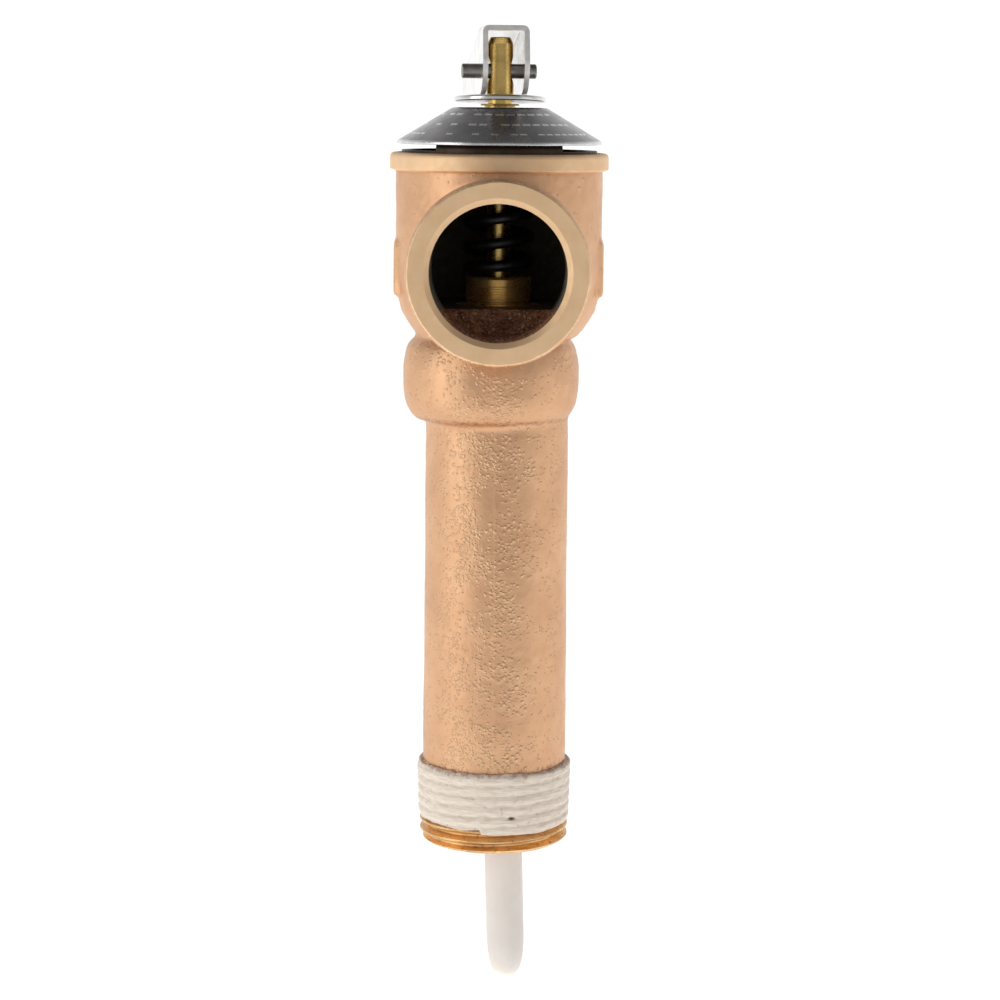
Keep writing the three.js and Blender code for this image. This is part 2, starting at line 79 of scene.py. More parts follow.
# ---- Sizes -------------------------------------------------------------------------------
RIM_RADIUS = BODY_HIGH.x
TOP = BODY_HIGH.z
OUTLET_FACE = BODY_LOW.y
OUTLET_Z = 101.0
VOXEL = 0.45  # of the cast skin
PITCH = 25.4 / 14  # both pipe threads, 14 turns to the inch
THREAD_DEPTH = 1.32
THREAD_TAPER = 1 / 32
INLET_CREST = 12.95
INLET_LENGTH = 13.5
SHANK_RADIUS = 12.3
CHAMBER_RADIUS = RIM_RADIUS - 1.0
CHAMBER_BORE = 15.4
CHAMBER_FLOOR = 94.2
SOCKET_DEPTH = 14.0
SOCKET_BORE = 11.3
RING_DEPTH, RING_RADIUS = 1.35, 15.0  # the outlet's machined face
BOSS_INSIDE = 12.9  # no wall of the outlet's bore lies further from its axis
STEM_RADIUS = 2.05
PIN_Z = (PIN_LOW.z + PIN_HIGH.z) / 2
BULGE_LOW, BULGE_HIGH, BULGE_SHIFT = 74.3, 88.8, -1.1  # round the top of the shank
SEALANT_VOID, VOID_FLATNESS = Vector((3.15, -12.8, 6.5)), 2.2  # a bubble that has burst in the paste
TINY = 1e-6


# ---- Mesh helpers ------------------------------------------------------------------------
def placed(name, data):
    made = bpy.data.objects.new(name, data)
    bpy.context.scene.collection.objects.link(made)
    return made


def mesh_object(name, points, faces):
    """A linked object from points in millimetres and faces, with its faces turned outwards."""
    mesh = bpy.data.meshes.new(name)
    mesh.from_pydata([tuple(point) for point in points], [], faces)
    work = bmesh.new()
    work.from_mesh(mesh)
    bmesh.ops.recalc_face_normals(work, faces=work.faces)
    work.to_mesh(mesh)
    work.free()
    return placed(name, mesh)


def softened(corners, steps=4):
    """A profile of [radius, height] corners, with the [radius, height, rounding] ones as short arcs."""
    profile = []
    for i, corner in enumerate(corners):
        here = Vector(corner[:2])
        if len(corner) < 3:
            profile.append(here)
            continue
        before = Vector(corners[i - 1][:2]) - here
        after = Vector(corners[(i + 1) % len(corners)][:2]) - here
        start = here + before.normalized() * min(corner[2], 0.49 * before.length)
        end = here + after.normalized() * min(corner[2], 0.49 * after.length)
        for k in range(steps + 1):
            t = k / steps
            profile.append(start * (1 - t) ** 2 + here * 2 * t * (1 - t) + end * t**2)
    return profile


def turned(name, corners, segments=96):
    """A solid turned about Z. Its profile runs from the axis to the axis, or closes on itself."""
    points, faces, rings = [], [], []
    for radius, height in softened(corners):
        if radius < TINY:
            rings.append([len(points)] * segments)
            points.append((0, 0, height))
            continue
        rings.append(range(len(points), len(points) + segments))
        for i in range(segments):
            angle = 2 * math.pi * i / segments
            points.append((radius * math.cos(angle), radius * math.sin(angle), height))
    pairs = list(zip(rings, rings[1:]))
    if corners[0][0] > TINY:
        pairs.append((rings[-1], rings[0]))
    for low, high in pairs:
        for i in range(segments):
            j = (i + 1) % segments
            face = list(dict.fromkeys([low[i], low[j], high[j], high[i]]))
            if len(face) > 2:
                faces.append(face)
    return mesh_object(name, points, faces)


def plug(name, radius, low, high, segments=96):
    """A plain cylinder about Z."""
    return turned(name, [[0, low], [radius, low], [radius, high], [0, high]], segments)


def prism(name, outline, depth, to_frame):
    """A 2-D outline pushed through by depth, centred, and placed by a 4x4 matrix."""
    count = len(outline)
    points = [to_frame @ Vector((x, y, side)) for side in (-depth / 2, depth / 2) for x, y in outline]
    faces = [list(range(count)), list(range(count, 2 * count))]
    faces += [[i, (i + 1) % count, count + (i + 1) % count, count + i] for i in range(count)]
    return mesh_object(name, points, faces)


def block(name, low, high):
    """A box between two corners."""
    outline = [(low[0], low[1]), (high[0], low[1]), (high[0], high[1]), (low[0], high[1])]
    middle = Matrix.Translation((0, 0, (low[2] + high[2]) / 2))
    return prism(name, outline, high[2] - low[2], middle)


def settle(piece):
    """Applies a piece's modifiers to its mesh."""
    depsgraph = bpy.context.evaluated_depsgraph_get()
    mesh = bpy.data.meshes.new_from_object(piece.evaluated_get(depsgraph))
    piece.modifiers.clear()
    piece.data = mesh
    return piece


def modified(piece, kind, **settings):
    """Adds one modifier with its settings and applies it."""
    modifier = piece.modifiers.new(kind, kind)
    for name, value in settings.items():
        setattr(modifier, name, value)
    return settle(piece)


def combine(operation, first, *others):
    """Joins, cuts or intersects first with each of the others, which are used up."""
    for other in others:
        modified(first, "BOOLEAN", operation=operation, solver="MANIFOLD", object=other)
        bpy.data.objects.remove(other)
    return first


def moved(piece, matrix):
    piece.data.transform(matrix)
    return piece


def into_outlet(piece):
    """Moves a piece turned about Z so that its z = 0 is the outlet's face and +z runs inwards."""
    inwards = Matrix.Rotation(-math.pi / 2, 4, "X")
    return moved(piece, Matrix.Translation((0, OUTLET_FACE, OUTLET_Z)) @ inwards)


def shaded(piece, angle=38):
    """Smooth shading, with the edges sharper than the angle left sharp."""
    mesh = piece.data
    mesh.shade_smooth()
    mesh.set_sharp_from_angle(angle=math.radians(angle))
    return piece


def crisp_borders(piece):
    """Leaves sharp the edges where one finish meets another."""
    work = bmesh.new()
    work.from_mesh(piece.data)
    for edge in work.edges:
        if len({face.material_index for face in edge.link_faces}) > 1:
            edge.smooth = False
    work.to_mesh(piece.data)
    work.free()
    return piece


def bevelled(piece, width, segments=2, angle=35):
    return modified(
        piece, "BEVEL", width=width, segments=segments, limit_method="ANGLE",
        angle_limit=math.radians(angle), harden_normals=False,
    )


def finished(piece, materials, body, slot, *nodes):
    """Scales a piece to metres, gives it its materials and ties it to the frame."""
    moved(piece, Matrix.Scale(MM, 4))
    finishes = [face.material_index for face in piece.data.polygons]
    piece.data.materials.clear()
    for material in materials:
        piece.data.materials.append(material)
    piece.data.polygons.foreach_set("material_index", finishes)
    shaded(piece)
    if len(materials) > 1:
        crisp_borders(piece)
    modified(piece, "WEIGHTED_NORMAL", keep_sharp=True)
    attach(piece, body)
    if nodes:
        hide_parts(*nodes)
    return piece


def paint(piece, chooser):
    """Sets each face's material index by chooser(centre, normal)."""
    for face in piece.data.polygons:
        face.material_index = chooser(face.center, face.normal)
    return piece


def push_points(piece, offset):
    """Moves each vertex along its normal by offset(point) millimetres."""
    vertices = piece.data.vertices
    normals = [vertex.normal.copy() for vertex in vertices]
    for vertex, normal in zip(vertices, normals):
        vertex.co += normal * offset(vertex.co)
    return piece


# ---- Materials ---------------------------------------------------------------------------
class Finish:
    """A procedural material: one Principled shader and the nodes that drive it."""

    def __init__(self, name, **sockets):
        self.material = bpy.data.materials.new(name)
        self.material.use_nodes = True
        self.tree = self.material.node_tree
        self.shader = self.tree.nodes["Principled BSDF"]
        self.place = self.tree.nodes.new("ShaderNodeTexCoord").outputs["Object"]
        self.normal = None
        for socket, value in sockets.items():
            self.shader.inputs[socket.replace("_", " ")].default_value = value

    def node(self, kind, **inputs):
        made = self.tree.nodes.new("ShaderNode" + kind)
        for name, value in inputs.items():
            self.feed(made.inputs[name.replace("_", " ")], value)
        return made

    def feed(self, socket, value):
        if isinstance(value, bpy.types.NodeSocket):
            self.tree.links.new(value, socket)
        else:
            socket.default_value = value

    def math(self, operation, first, second=0.0):
        made = self.node("Math")
        made.operation = operation
        self.feed(made.inputs[0], first)
        self.feed(made.inputs[1], second)
        return made.outputs["Value"]

    def off(self, value, middle):
        """How far a value is from a middle one, on either side."""
        return self.math("ABSOLUTE", self.math("SUBTRACT", value, middle))

    def vector(self, operation, *inputs):
        made = self.node("VectorMath")
        made.operation = operation
        for socket, value in zip(made.inputs, inputs):
            self.feed(socket, value)
        return made.outputs

    def noise(self, size, detail=2.0, rough=0.5, stretch=(1, 1, 1)):
        """Noise from 0 to 1 whose grains are about size millimetres across."""
        place = self.place
        if stretch != (1, 1, 1):
            place = self.node("Mapping", Vector=place, Scale=stretch).outputs["Vector"]
        made = self.node("TexNoise", Vector=place, Scale=1 / (size * MM), Detail=detail, Roughness=rough)
        return made.outputs["Fac"]

    def grains(self, size, crowding):
        """Warped grains up to 1 high, size millimetres apart, on the share of places that crowding gives."""
        warp = self.node("TexNoise", Vector=self.place, Scale=1 / (WARP_SIZE * MM), Detail=2.0)
        reach = (WARP_REACH * size * MM,) * 3
        shifted = self.vector("MULTIPLY_ADD", warp.outputs["Color"], reach, self.place)["Vector"]
        made = self.node("TexVoronoi", Vector=shifted, Scale=1 / (size * MM), Randomness=1.0)
        chance = self.node("SeparateColor", Color=made.outputs["Color"]).outputs["Red"]
        present = self.spread(self.math("SUBTRACT", crowding, chance), -0.02, 0.02, 0, 1)
        return self.math("MULTIPLY", self.spread(made.outputs["Distance"], 0.05, 0.5, 1, 0), present)

    def spread(self, value, low, high, to_low, to_high):
        """A value's stretch from low to high, carried to another stretch and held at its ends."""
        made = self.node("MapRange", Value=value, From_Min=low, From_Max=high, To_Min=to_low, To_Max=to_high)
        made.clamp = True
        return made.outputs["Result"]

    def patches(self, size, low=0.35, high=0.65, most=1, **noise):
        """Patches size millimetres across, from 0 to most."""
        return self.spread(self.noise(size, **noise), low, high, 0, most)

    def blend(self, share, first, second):
        """Two colours, or colour sockets, mixed by share."""
        made = self.node("Mix")
        made.data_type = "RGBA"
        self.feed(made.inputs["Factor"], share)
        for socket, value in ((made.inputs[6], first), (made.inputs[7], second)):
            self.feed(socket, value if isinstance(value, bpy.types.NodeSocket) else (*value, 1.0))
        return made.outputs[2]

    def axis(self, name):
        """One of the position's coordinates, in metres."""
        return self.node("SeparateXYZ", Vector=self.place).outputs[name]

    def radius_about(self, origin, scale):
        """Distance in metres from a line: scale is 0 along the line's own axis."""
        away = self.vector("SUBTRACT", self.place, origin)["Vector"]
        return self.vector("LENGTH", self.vector("MULTIPLY", away, scale)["Vector"])["Value"]

    def lines(self, along, size):
        """Fine tool marks: noise along one measure only, size millimetres apart."""
        made = self.node("TexNoise")
        made.noise_dimensions = "1D"
        self.feed(made.inputs["W"], along)
        made.inputs["Scale"].default_value = 1 / (size * MM)
        made.inputs["Detail"].default_value = 3.0
        return made.outputs["Fac"]

    def tones(self, share, first, second):
        """The base colour, mixed by share."""
        self.feed(self.shader.inputs["Base Color"], self.blend(share, first, second))

    def roughness(self, value):
        self.feed(self.shader.inputs["Roughness"], value)

    def gloss(self, low, high, size, detail=3):
        """Roughness from low to high, in patches size millimetres across."""
        self.roughness(self.spread(self.noise(size, detail=detail), 0.3, 0.7, low, high))

    def bump(self, height, depth):
        """Adds relief of depth millimetres to what is there already."""
        made = self.node("Bump", Strength=1.0, Distance=depth * MM, Height=height)
        if self.normal is not None:
            self.feed(made.inputs["Normal"], self.normal)
        self.normal = made.outputs["Normal"]
        self.feed(self.shader.inputs["Normal"], self.normal)
        return self

    def grain(self, depth, size, **noise):
        """Adds relief of depth millimetres from noise."""
        return self.bump(self.noise(size, **noise), depth)


def even_finish(name, first, second, patch, gloss, *grains, high=0.65, detail=4, **sockets):
    """Two tones in patches, roughness as Finish.gloss takes it, and grains of depth, size and settings."""
    made = Finish(name, **sockets)
    made.tones(made.patches(patch, high=high, detail=detail), first, second)
    made.gloss(*gloss)
    for depth, size, settings in grains:
        made.grain(depth, size, **settings)
    return made.material


WARP_SIZE, WARP_REACH = 0.45, 0.6  # of the casting's grains, in millimetres and in grains
CAST_LIGHT = (0.78, 0.475, 0.275)
CAST_DARK = (0.71, 0.415, 0.24)
# Painted highlight for the grains' tops, then painted shade for their feet.
GRAIN_TOP_HIGHLIGHT = (1.0, 0.72, 0.44)
GRAIN_FOOT_SHADE = (0.30, 0.155, 0.095)
# Painted shade: the dark brown laid into the crease under the bulge.
PAINTED_CREASE_SHADE = (0.20, 0.125, 0.085)
CREASE_Z = 74.85  # under the bulge
PEBBLED_BAND = -0.0022  # x of the middle of the roughest strip, on the outlet's side


def cast_bronze():
    """As cast: grains of the mould's sand stand out of it, crowded in places, with painted highlights on
    their tops, painted shade round their feet and painted shade in the crease under the bulge.
    """
    made = Finish("cast_bronze", Metallic=1.0)
    band = made.spread(made.off(made.axis("X"), PEBBLED_BAND), 0.003, 0.0085, 1.25, 0.35)
    crowding = made.math("MULTIPLY", made.patches(4.5, 0.36, 0.64, detail=4), band)
    crowding = made.math("MULTIPLY", crowding, made.spread(made.axis("Z"), 0.087, 0.092, 0.9, 0.16))
    grains = made.math("MAXIMUM", made.grains(0.80, crowding), made.grains(0.55, crowding))
    tone = made.blend(made.patches(9, detail=3), CAST_DARK, CAST_LIGHT)
    # Painted shade round each grain's foot, then a painted highlight on its top.
    tone = made.blend(made.spread(grains, 0.02, 0.25, 0, 0.22), tone, GRAIN_FOOT_SHADE)
    tone = made.blend(made.spread(grains, 0.3, 0.75, 0, 0.55), tone, GRAIN_TOP_HIGHLIGHT)
    # Painted shade: the crease under the bulge, darkened in uneven patches.
    near = made.spread(made.off(made.axis("Z"), CREASE_Z * MM), 0.0001, 0.0006, 0.55, 0)
    uneven = made.spread(made.noise(0.9, detail=5, rough=0.65), 0.38, 0.62, 0.1, 1)
    made.tones(made.math("MULTIPLY", near, uneven), tone, PAINTED_CREASE_SHADE)
    made.gloss(0.38, 0.50, 2.5, detail=4)
    parting = made.spread(made.noise(6), 0, 1, -0.0006, 0.0006)
    made.bump(made.spread(made.off(made.axis("X"), parting), 0, 0.0005, 1, 0), 0.05)
    made.bump(grains, 0.10)
    made.grain(0.035, 0.5, detail=4, rough=0.6)
    return made.grain(0.02, 0.28, detail=3, rough=0.65).material


def machined_bronze(name, origin, across):
    """Turned bronze with fine tool marks round its own axis."""
    made = Finish(name, Metallic=0.7)
    marks = made.lines(made.radius_about(origin, across), 0.12)
    height_marks = made.lines(made.axis("Z" if across[2] == 0 else "Y"), 0.12)
    stain = made.patches(4, high=0.7, detail=4, rough=0.6)
    made.tones(stain, (0.98, 0.69, 0.42), (0.90, 0.61, 0.35))
    made.gloss(0.48, 0.60, 1.2)
    made.bump(made.math("ADD", marks, height_marks), 0.012)
    return made.grain(0.03, 1.6).material


def worn_thread():
    """The bare inlet thread: cut bronze gone brown, streaked round its turns."""
    made = Finish("worn_thread", Metallic=0.9)
    streaks = made.noise(1.3, detail=4, rough=0.65, stretch=(0.25, 0.25, 2.0))
    tone = made.blend(made.spread(streaks, 0.38, 0.62, 0, 1), (0.66, 0.38, 0.16), (0.98, 0.66, 0.32))
    made.tones(made.patches(0.8, 0.58, 0.70, 0.6, detail=4), tone, (0.28, 0.15, 0.06))
    made.gloss(0.34, 0.50, 0.9)
    made.bump(streaks, 0.06)
    return made.grain(0.02, 0.3, detail=3).material


def scaled_bronze():
    """The casting's raw inside: dark red-brown oxide, with painted glints on its grains and in fine flecks.
    """
    made = Finish("raw_bronze", Metallic=0.7)
    cells = made.node("TexVoronoi", Vector=made.place, Scale=1 / (0.42 * MM)).outputs["Distance"]
    fine = made.noise(0.22, detail=3, rough=0.7)
    # Painted highlight: pale glints on grains and fine flecks.
    painted_glints = made.math("MAXIMUM", made.grains(0.7, 0.45), made.spread(fine, 0.58, 0.66, 0, 0.8))
    base = made.blend(made.patches(1.5, detail=3), (0.36, 0.15, 0.08), (0.60, 0.28, 0.15))
    made.tones(painted_glints, base, (0.95, 0.70, 0.52))
    made.roughness(made.spread(cells, 0.1, 0.7, 0.36, 0.62))
    made.bump(cells, 0.26)
    return made.bump(fine, 0.12).material


def turned_brass():
    made = Finish("turned_brass", Metallic=1.0)
    height_marks = made.lines(made.axis("Z"), 0.14)
    marks = made.lines(made.radius_about(*VALVE_AXIS), 0.14)
    stain = made.patches(3, high=0.7, detail=4, rough=0.6)
    made.tones(stain, (0.82, 0.57, 0.20), (0.70, 0.47, 0.16))
    made.gloss(0.22, 0.34, 0.9)
    return made.bump(made.math("ADD", height_marks, marks), 0.012).material


def carrier_brass():
    """Knurled brass with a film of grease: softer than bare turned brass."""
    made = Finish("carrier_brass", Metallic=0.8)
    made.tones(made.patches(2, detail=4), (0.95, 0.64, 0.22), (0.80, 0.46, 0.14))
    made.gloss(0.26, 0.36, 0.9)
    return made.bump(made.lines(made.axis("Z"), 0.2), 0.02).material


# Rows of plain dashes stand in for print: [radius, height in millimetres, dashes in a whole turn].
PRINT_ROWS = [(9.9, 0.5, 34), (12.7, 0.5, 44), (15.3, 0.38, 60)]
PRINT_FADE = 0.05  # millimetres over which a row's edge fades, each way


def dashes(made, radius, height, count):
    """Where one row's dashes are: 1 on them and 0 off them, with about one in four left out."""
    around = made.math("ARCTAN2", made.axis("Y"), made.axis("X"))
    place = made.math("MULTIPLY", around, count / (2 * math.pi))
    chance = made.node("TexWhiteNoise")
    chance.noise_dimensions = "1D"
    made.feed(chance.inputs["W"], made.math("FLOOR", place))
    along = made.spread(made.off(made.math("FRACT", place), 0.5), 0.35, 0.39, 1, 0)
    kept = made.spread(chance.outputs["Value"], 0.22, 0.24, 0, 1)
    off_row = made.off(made.radius_about(*VALVE_AXIS), radius * MM)
    across = made.spread(off_row, (height / 2 - PRINT_FADE) * MM, (height / 2 + PRINT_FADE) * MM, 1, 0)
    return made.math("MULTIPLY", made.math("MULTIPLY", along, kept), across)


def plate_black():
    """Satin black print on aluminium, with the sheet's spun grain showing through."""
    made = Finish("plate_black", Metallic=0.85)
    tone = made.blend(made.patches(4, detail=4), (0.27, 0.262, 0.265), (0.35, 0.338, 0.342))
    flecks = made.patches(0.22, 0.58, 0.74, 0.2, detail=2, rough=0.7)
    tone = made.blend(flecks, tone, (0.6, 0.59, 0.59))
    printed = dashes(made, *PRINT_ROWS[0])
    for row in PRINT_ROWS[1:]:
        printed = made.math("MAXIMUM", printed, dashes(made, *row))
    made.tones(made.math("MULTIPLY", printed, 0.8), tone, (0.9, 0.89, 0.87))
    made.gloss(0.20, 0.30, 1.4)
    made.bump(printed, 0.02)
    return made.bump(made.lines(made.radius_about(*VALVE_AXIS), 0.1), 0.006).material


def thread_sealant():
    """Dried sealant paste: chalky, streaked round the thread and stained where it meets the casting."""
    made = Finish("thread_sealant")
    streaks = made.noise(0.7, detail=4, rough=0.6, stretch=(0.30, 0.30, 2.4))
    tone = made.blend(made.spread(streaks, 0.35, 0.62, 0, 1), (0.84, 0.70, 0.57), (0.98, 0.885, 0.76))
    tone = made.blend(made.patches(1.0, 0.62, 0.72, 0.5, detail=4), tone, (0.55, 0.42, 0.33))
    # Painted shade: near-black inside the bubble that has burst in the paste.
    hole = made.radius_about(SEALANT_VOID * MM, (1, 1, VOID_FLATNESS))
    tone = made.blend(made.spread(hole, 0.0004, 0.0008, 0.93, 0), tone, (0.05, 0.04, 0.02))
    uneven = made.spread(made.noise(1.1, detail=5, rough=0.65), 0.25, 0.75, -0.0011, 0.0011)
    stained = made.spread(made.math("ADD", made.axis("Z"), uneven), 0.0137, 0.0143, 0, 0.85)
    made.tones(stained, tone, (0.62, 0.40, 0.31))
    made.roughness(made.spread(streaks, 0.3, 0.7, 0.5, 0.7))
    made.bump(streaks, 0.12)
    return made.grain(0.03, 0.3).material


VALVE_AXIS = ((0, 0, 0), (1, 1, 0))
OUTLET_AXIS = ((0, 0, OUTLET_Z * MM), (1, 0, 1))
CAST = cast_bronze()
TURNED_Z = machined_bronze("machined_round_z", *VALVE_AXIS)
TURNED_Y = machined_bronze("machined_round_outlet", *OUTLET_AXIS)
RAW = scaled_bronze()
WORN_THREAD = worn_thread()
# Painted shade: near-black bronze for the deep outlet bore and the chamber's inside, which the lamps hardly
# reach.
PAINTED_SHADE_BRONZE = even_finish(
    "painted_shade_bronze", (0.12, 0.10, 0.07), (0.18, 0.145, 0.10), 1.6, (0.45, 0.65, 0.8),
    (0.06, 0.5, {"detail": 3}), high=0.7, Metallic=0.2,
)
BRASS = turned_brass()
CARRIER_BRASS = carrier_brass()
STEEL = even_finish(
    "bright_steel", (0.88, 0.87, 0.85), (0.78, 0.77, 0.76), 5, (0.14, 0.28, 1.5, 4),
    (0.03, 2.2, {}), (0.006, 0.25, {"stretch": (1, 0.1, 1)}), Metallic=1.0,
)
SHEARED_STEEL = even_finish(  # the edges of the lever's sheet, tumbled pale and matt
    "sheared_steel", (0.95, 0.93, 0.90), (0.80, 0.78, 0.75), 1.0, (0.40, 0.55, 0.6),
    (0.02, 0.3, {}), Metallic=0.7,
)
PIN_STEEL = even_finish(
    "pin_steel", (0.42, 0.39, 0.36), (0.30, 0.275, 0.25), 1.2, (0.30, 0.46, 0.6),
    (0.015, 0.3, {"detail": 3, "stretch": (0.15, 1, 1)}), Metallic=1.0,
)
DARK_STEEL = even_finish(  # blackened pressed steel with a brown cast
    "dark_steel", (0.045, 0.030, 0.022), (0.075, 0.050, 0.034), 2.5, (0.38, 0.55, 1.1),
    (0.02, 0.5, {"detail": 3}), Metallic=0.75,
)
SPRING_STEEL = even_finish(
    "spring_steel", (0.035, 0.035, 0.038), (0.065, 0.063, 0.067), 1.5, (0.34, 0.5, 0.8),
    (0.01, 0.3, {}), Metallic=0.9,
)
BLACK_PLATE = plate_black()
ALUMINIUM = even_finish(
    "aluminium", (0.80, 0.80, 0.81), (0.68, 0.68, 0.69), 2, (0.22, 0.36, 0.8),
    (0.01, 0.4, {}), Metallic=1.0,
)
CUT_STEEL = even_finish(  # the sheared edge of the bonnet's sheet
    "cut_steel", (0.62, 0.59, 0.56), (0.42, 0.39, 0.36), 0.5, (0.3, 0.5, 0.5),
    (0.02, 0.25, {"stretch": (1, 1, 0.2)}), detail=3, Metallic=1.0,
)
COATING = even_finish(  # a smooth sprayed plastic skin, a little uneven and dusty
    "white_coating", (0.90, 0.84, 0.785), (0.86, 0.79, 0.725), 6, (0.42, 0.56, 1.5),
    (0.10, 3, {}), (0.012, 0.35, {}), Subsurface_Weight=0.08, Subsurface_Scale=0.001,
)
SEALANT = thread_sealant()
RUBBER = even_finish(
    "seal_rubber", (0.012, 0.012, 0.013), (0.03, 0.03, 0.032), 1, (0.6, 0.8, 0.6),
    (0.02, 0.25, {}), detail=3,
)
COPPER = even_finish(
    "copper_tube", (0.80, 0.42, 0.26), (0.62, 0.28, 0.15), 2.5, (0.25, 0.42, 1),
    (0.01, 0.4, {}), Metallic=1.0,
)
WAX = even_finish(
    "wax", (0.72, 0.64, 0.43), (0.62, 0.53, 0.34), 2, (0.5, 0.7, 1),
    (0.04, 0.6, {}), detail=3, Subsurface_Weight=0.2, Subsurface_Scale=0.001,
)


# ---- Pipe threads ------------------------------------------------------------------------
# One pitch of a pipe thread from root to root: [share of the pitch, share of the depth].
THREAD_FORM = [(0.0, 0.0), (0.09, 0.04), (0.41, 0.95), (0.5, 1.0), (0.59, 0.95), (0.91, 0.04)]


def threaded_rod(name, crest, taper, start, length, segments=96):
    """A rod with a right-hand thread. Its rows of vertices climb one pitch in a turn."""
    per_turn = len(THREAD_FORM)
    turns = math.ceil(length / PITCH)
    points, column_start = [], []
    for i in range(segments + 1):
        column_start.append(len(points))
        angle = 2 * math.pi * i / segments
        if i == segments:
            break
        rows = per_turn * (turns + (1 if i == 0 else 0))
        for j in range(rows + 1):
            share, depth_share = THREAD_FORM[j % per_turn]
            height = start + (j // per_turn + share + i / segments) * PITCH
            radius = crest + taper * height - THREAD_DEPTH * (1 - depth_share)
            points.append((radius * math.cos(angle), radius * math.sin(angle), height))
    rows = per_turn * turns

    def at(i, j):
        """The vertex in a column and a row. The column after the last is the first, one pitch up."""
        return per_turn + j if i == segments else column_start[i] + j

    low = len(points)
    high = low + 1
    points += [(0, 0, start), (0, 0, start + (turns + 1) * PITCH)]
    faces = []
    for i in range(segments):
        faces += [[at(i, j), at(i + 1, j), at(i + 1, j + 1), at(i, j + 1)] for j in range(rows)]
    faces += [[low, at(i + 1, 0), at(i, 0)] for i in range(segments)]
    faces += [[high, at(i, rows), at(i + 1, rows)] for i in range(segments)]
    faces += [[low, at(0, j), at(0, j + 1)] for j in range(per_turn)]
    faces += [[high, at(0, rows + j + 1), at(0, rows + j)] for j in range(per_turn)]
    return mesh_object(name, points, faces)


# ---- Body --------------------------------------------------------------------------------
def wobble(point, size, seed=0.0):
    """Smooth noise from -1 to 1 with grains of size millimetres."""
    return noise.noise(point / size + Vector((seed, seed, seed)))


def ridge_height(point):
    """The mould's parting line: a low ridge down the shank in the valve's plane of symmetry."""
    if not INLET_LENGTH + 2 < point.z < BULGE_LOW - 0.3:
        return 0.0
    off = point.x - 0.25 * wobble(Vector((0, 0, point.z)), 9, 3.0)
    fade = 0.5 + 0.5 * wobble(Vector((0, 0, point.z)), 5, 7.0)
    return 0.10 * fade * math.exp(-((off / 0.35) ** 2))


def cast_skin(point):
    """How far the mould left the surface proud of its drawn shape."""
    pebbled = 0.35 + 0.65 * max(0.0, min(1.0, 0.5 + 1.6 * wobble(point, 9, 11.0)))
    grain = 0.055 * wobble(point, 0.95) + 0.035 * wobble(point, 0.6, 5.0)
    swell = 0.05 * wobble(point, 3.5, 2.0) + 0.10 * wobble(point, 14, 9.0)
    return pebbled * grain + swell + ridge_height(point)


def casting_blanks():
    """The drawn shapes that the casting is made of, before the mould rounds them together."""
    inside = INLET_LENGTH - 2
    shank = turned(
        "shank",
        [[0, inside], [12.5, inside], [SHANK_RADIUS, 73.5], [SHANK_RADIUS, BULGE_HIGH], [0, BULGE_HIGH]],
    )
    bulge = turned(
        "bulge",
        [[0, BULGE_LOW], [12.6, BULGE_LOW, 0.5], [13.7, 75.1, 0.6], [14.75, 76.9, 1], [15.15, 79.5, 1.5],
         [15.15, 84.3, 1.5], [14.45, 87.3, 1], [12.75, BULGE_HIGH], [0, BULGE_HIGH]],
    )
    moved(bulge, Matrix.Translation((BULGE_SHIFT, 0, 0)))
    wide = CHAMBER_RADIUS
    chamber = turned(
        "chamber",
        [[0, 88.6], [wide - 4.2, 88.6], [wide - 3.2, 89.7], [wide - 2, 91.4], [wide - 1, 93.2],
         [wide - 0.35, 96], [wide, 99.1], [wide, TOP - 3], [wide - 1, TOP - 1.5], [0, TOP - 1.5]],
    )
    pads = block("pads", (-17.93, -4.5, 95.7), (17.93, 4.5, 105))
    proud = 0.35  # of the finished face, for machining
    boss = turned(
        "boss",
        [[0, -proud], [14.6, -proud, 0.3], [15.3, 0.75, 0.5], [15.3, 5.3, 0.5], [14.4, 6.6, 0.6], [14.4, 27],
         [0, 27]],
    )
    return [shank, bulge, chamber, pads, into_outlet(boss)]


def joined(pieces, name):
    """Several closed meshes in one object, still overlapping."""
    work = bmesh.new()
    for piece in pieces:
        work.from_mesh(piece.data)
        bpy.data.objects.remove(piece)
    mesh = bpy.data.meshes.new(name)
    work.to_mesh(mesh)
    work.free()
    return placed(name, mesh)


def casting():
    skin = joined(casting_blanks(), "casting")
    modified(skin, "REMESH", mode="VOXEL", voxel_size=VOXEL, use_smooth_shade=True)
    modified(skin, "SMOOTH", factor=0.5, iterations=4)
    return push_points(skin, cast_skin)


def machined_rim():
    """The flange round the top, turned outside and on its face."""
    under = TOP - 3.2
    return turned(
        "rim",
        [[0, under - 1], [CHAMBER_RADIUS - 0.6, under - 1], [CHAMBER_RADIUS - 0.3, under],
         [RIM_RADIUS, under + 0.4, 0.15], [RIM_RADIUS, TOP, 0.9], [0, TOP]],
        segments=160,
    )


def inlet_thread():
    blank = threaded_rod("inlet_thread", INLET_CREST, THREAD_TAPER, -PITCH, INLET_LENGTH + PITCH)
    limit = turned(
        "inlet_limit",
        [[0, 0], [INLET_CREST - 0.9, 0, 0.2], [INLET_CREST + 0.1, 0.9], [14, 0.9], [14, INLET_LENGTH - 0.6],
         [12.4, INLET_LENGTH + 0.8], [0, INLET_LENGTH + 0.8]],
        segments=120,
    )
    return combine("INTERSECT", blank, limit)


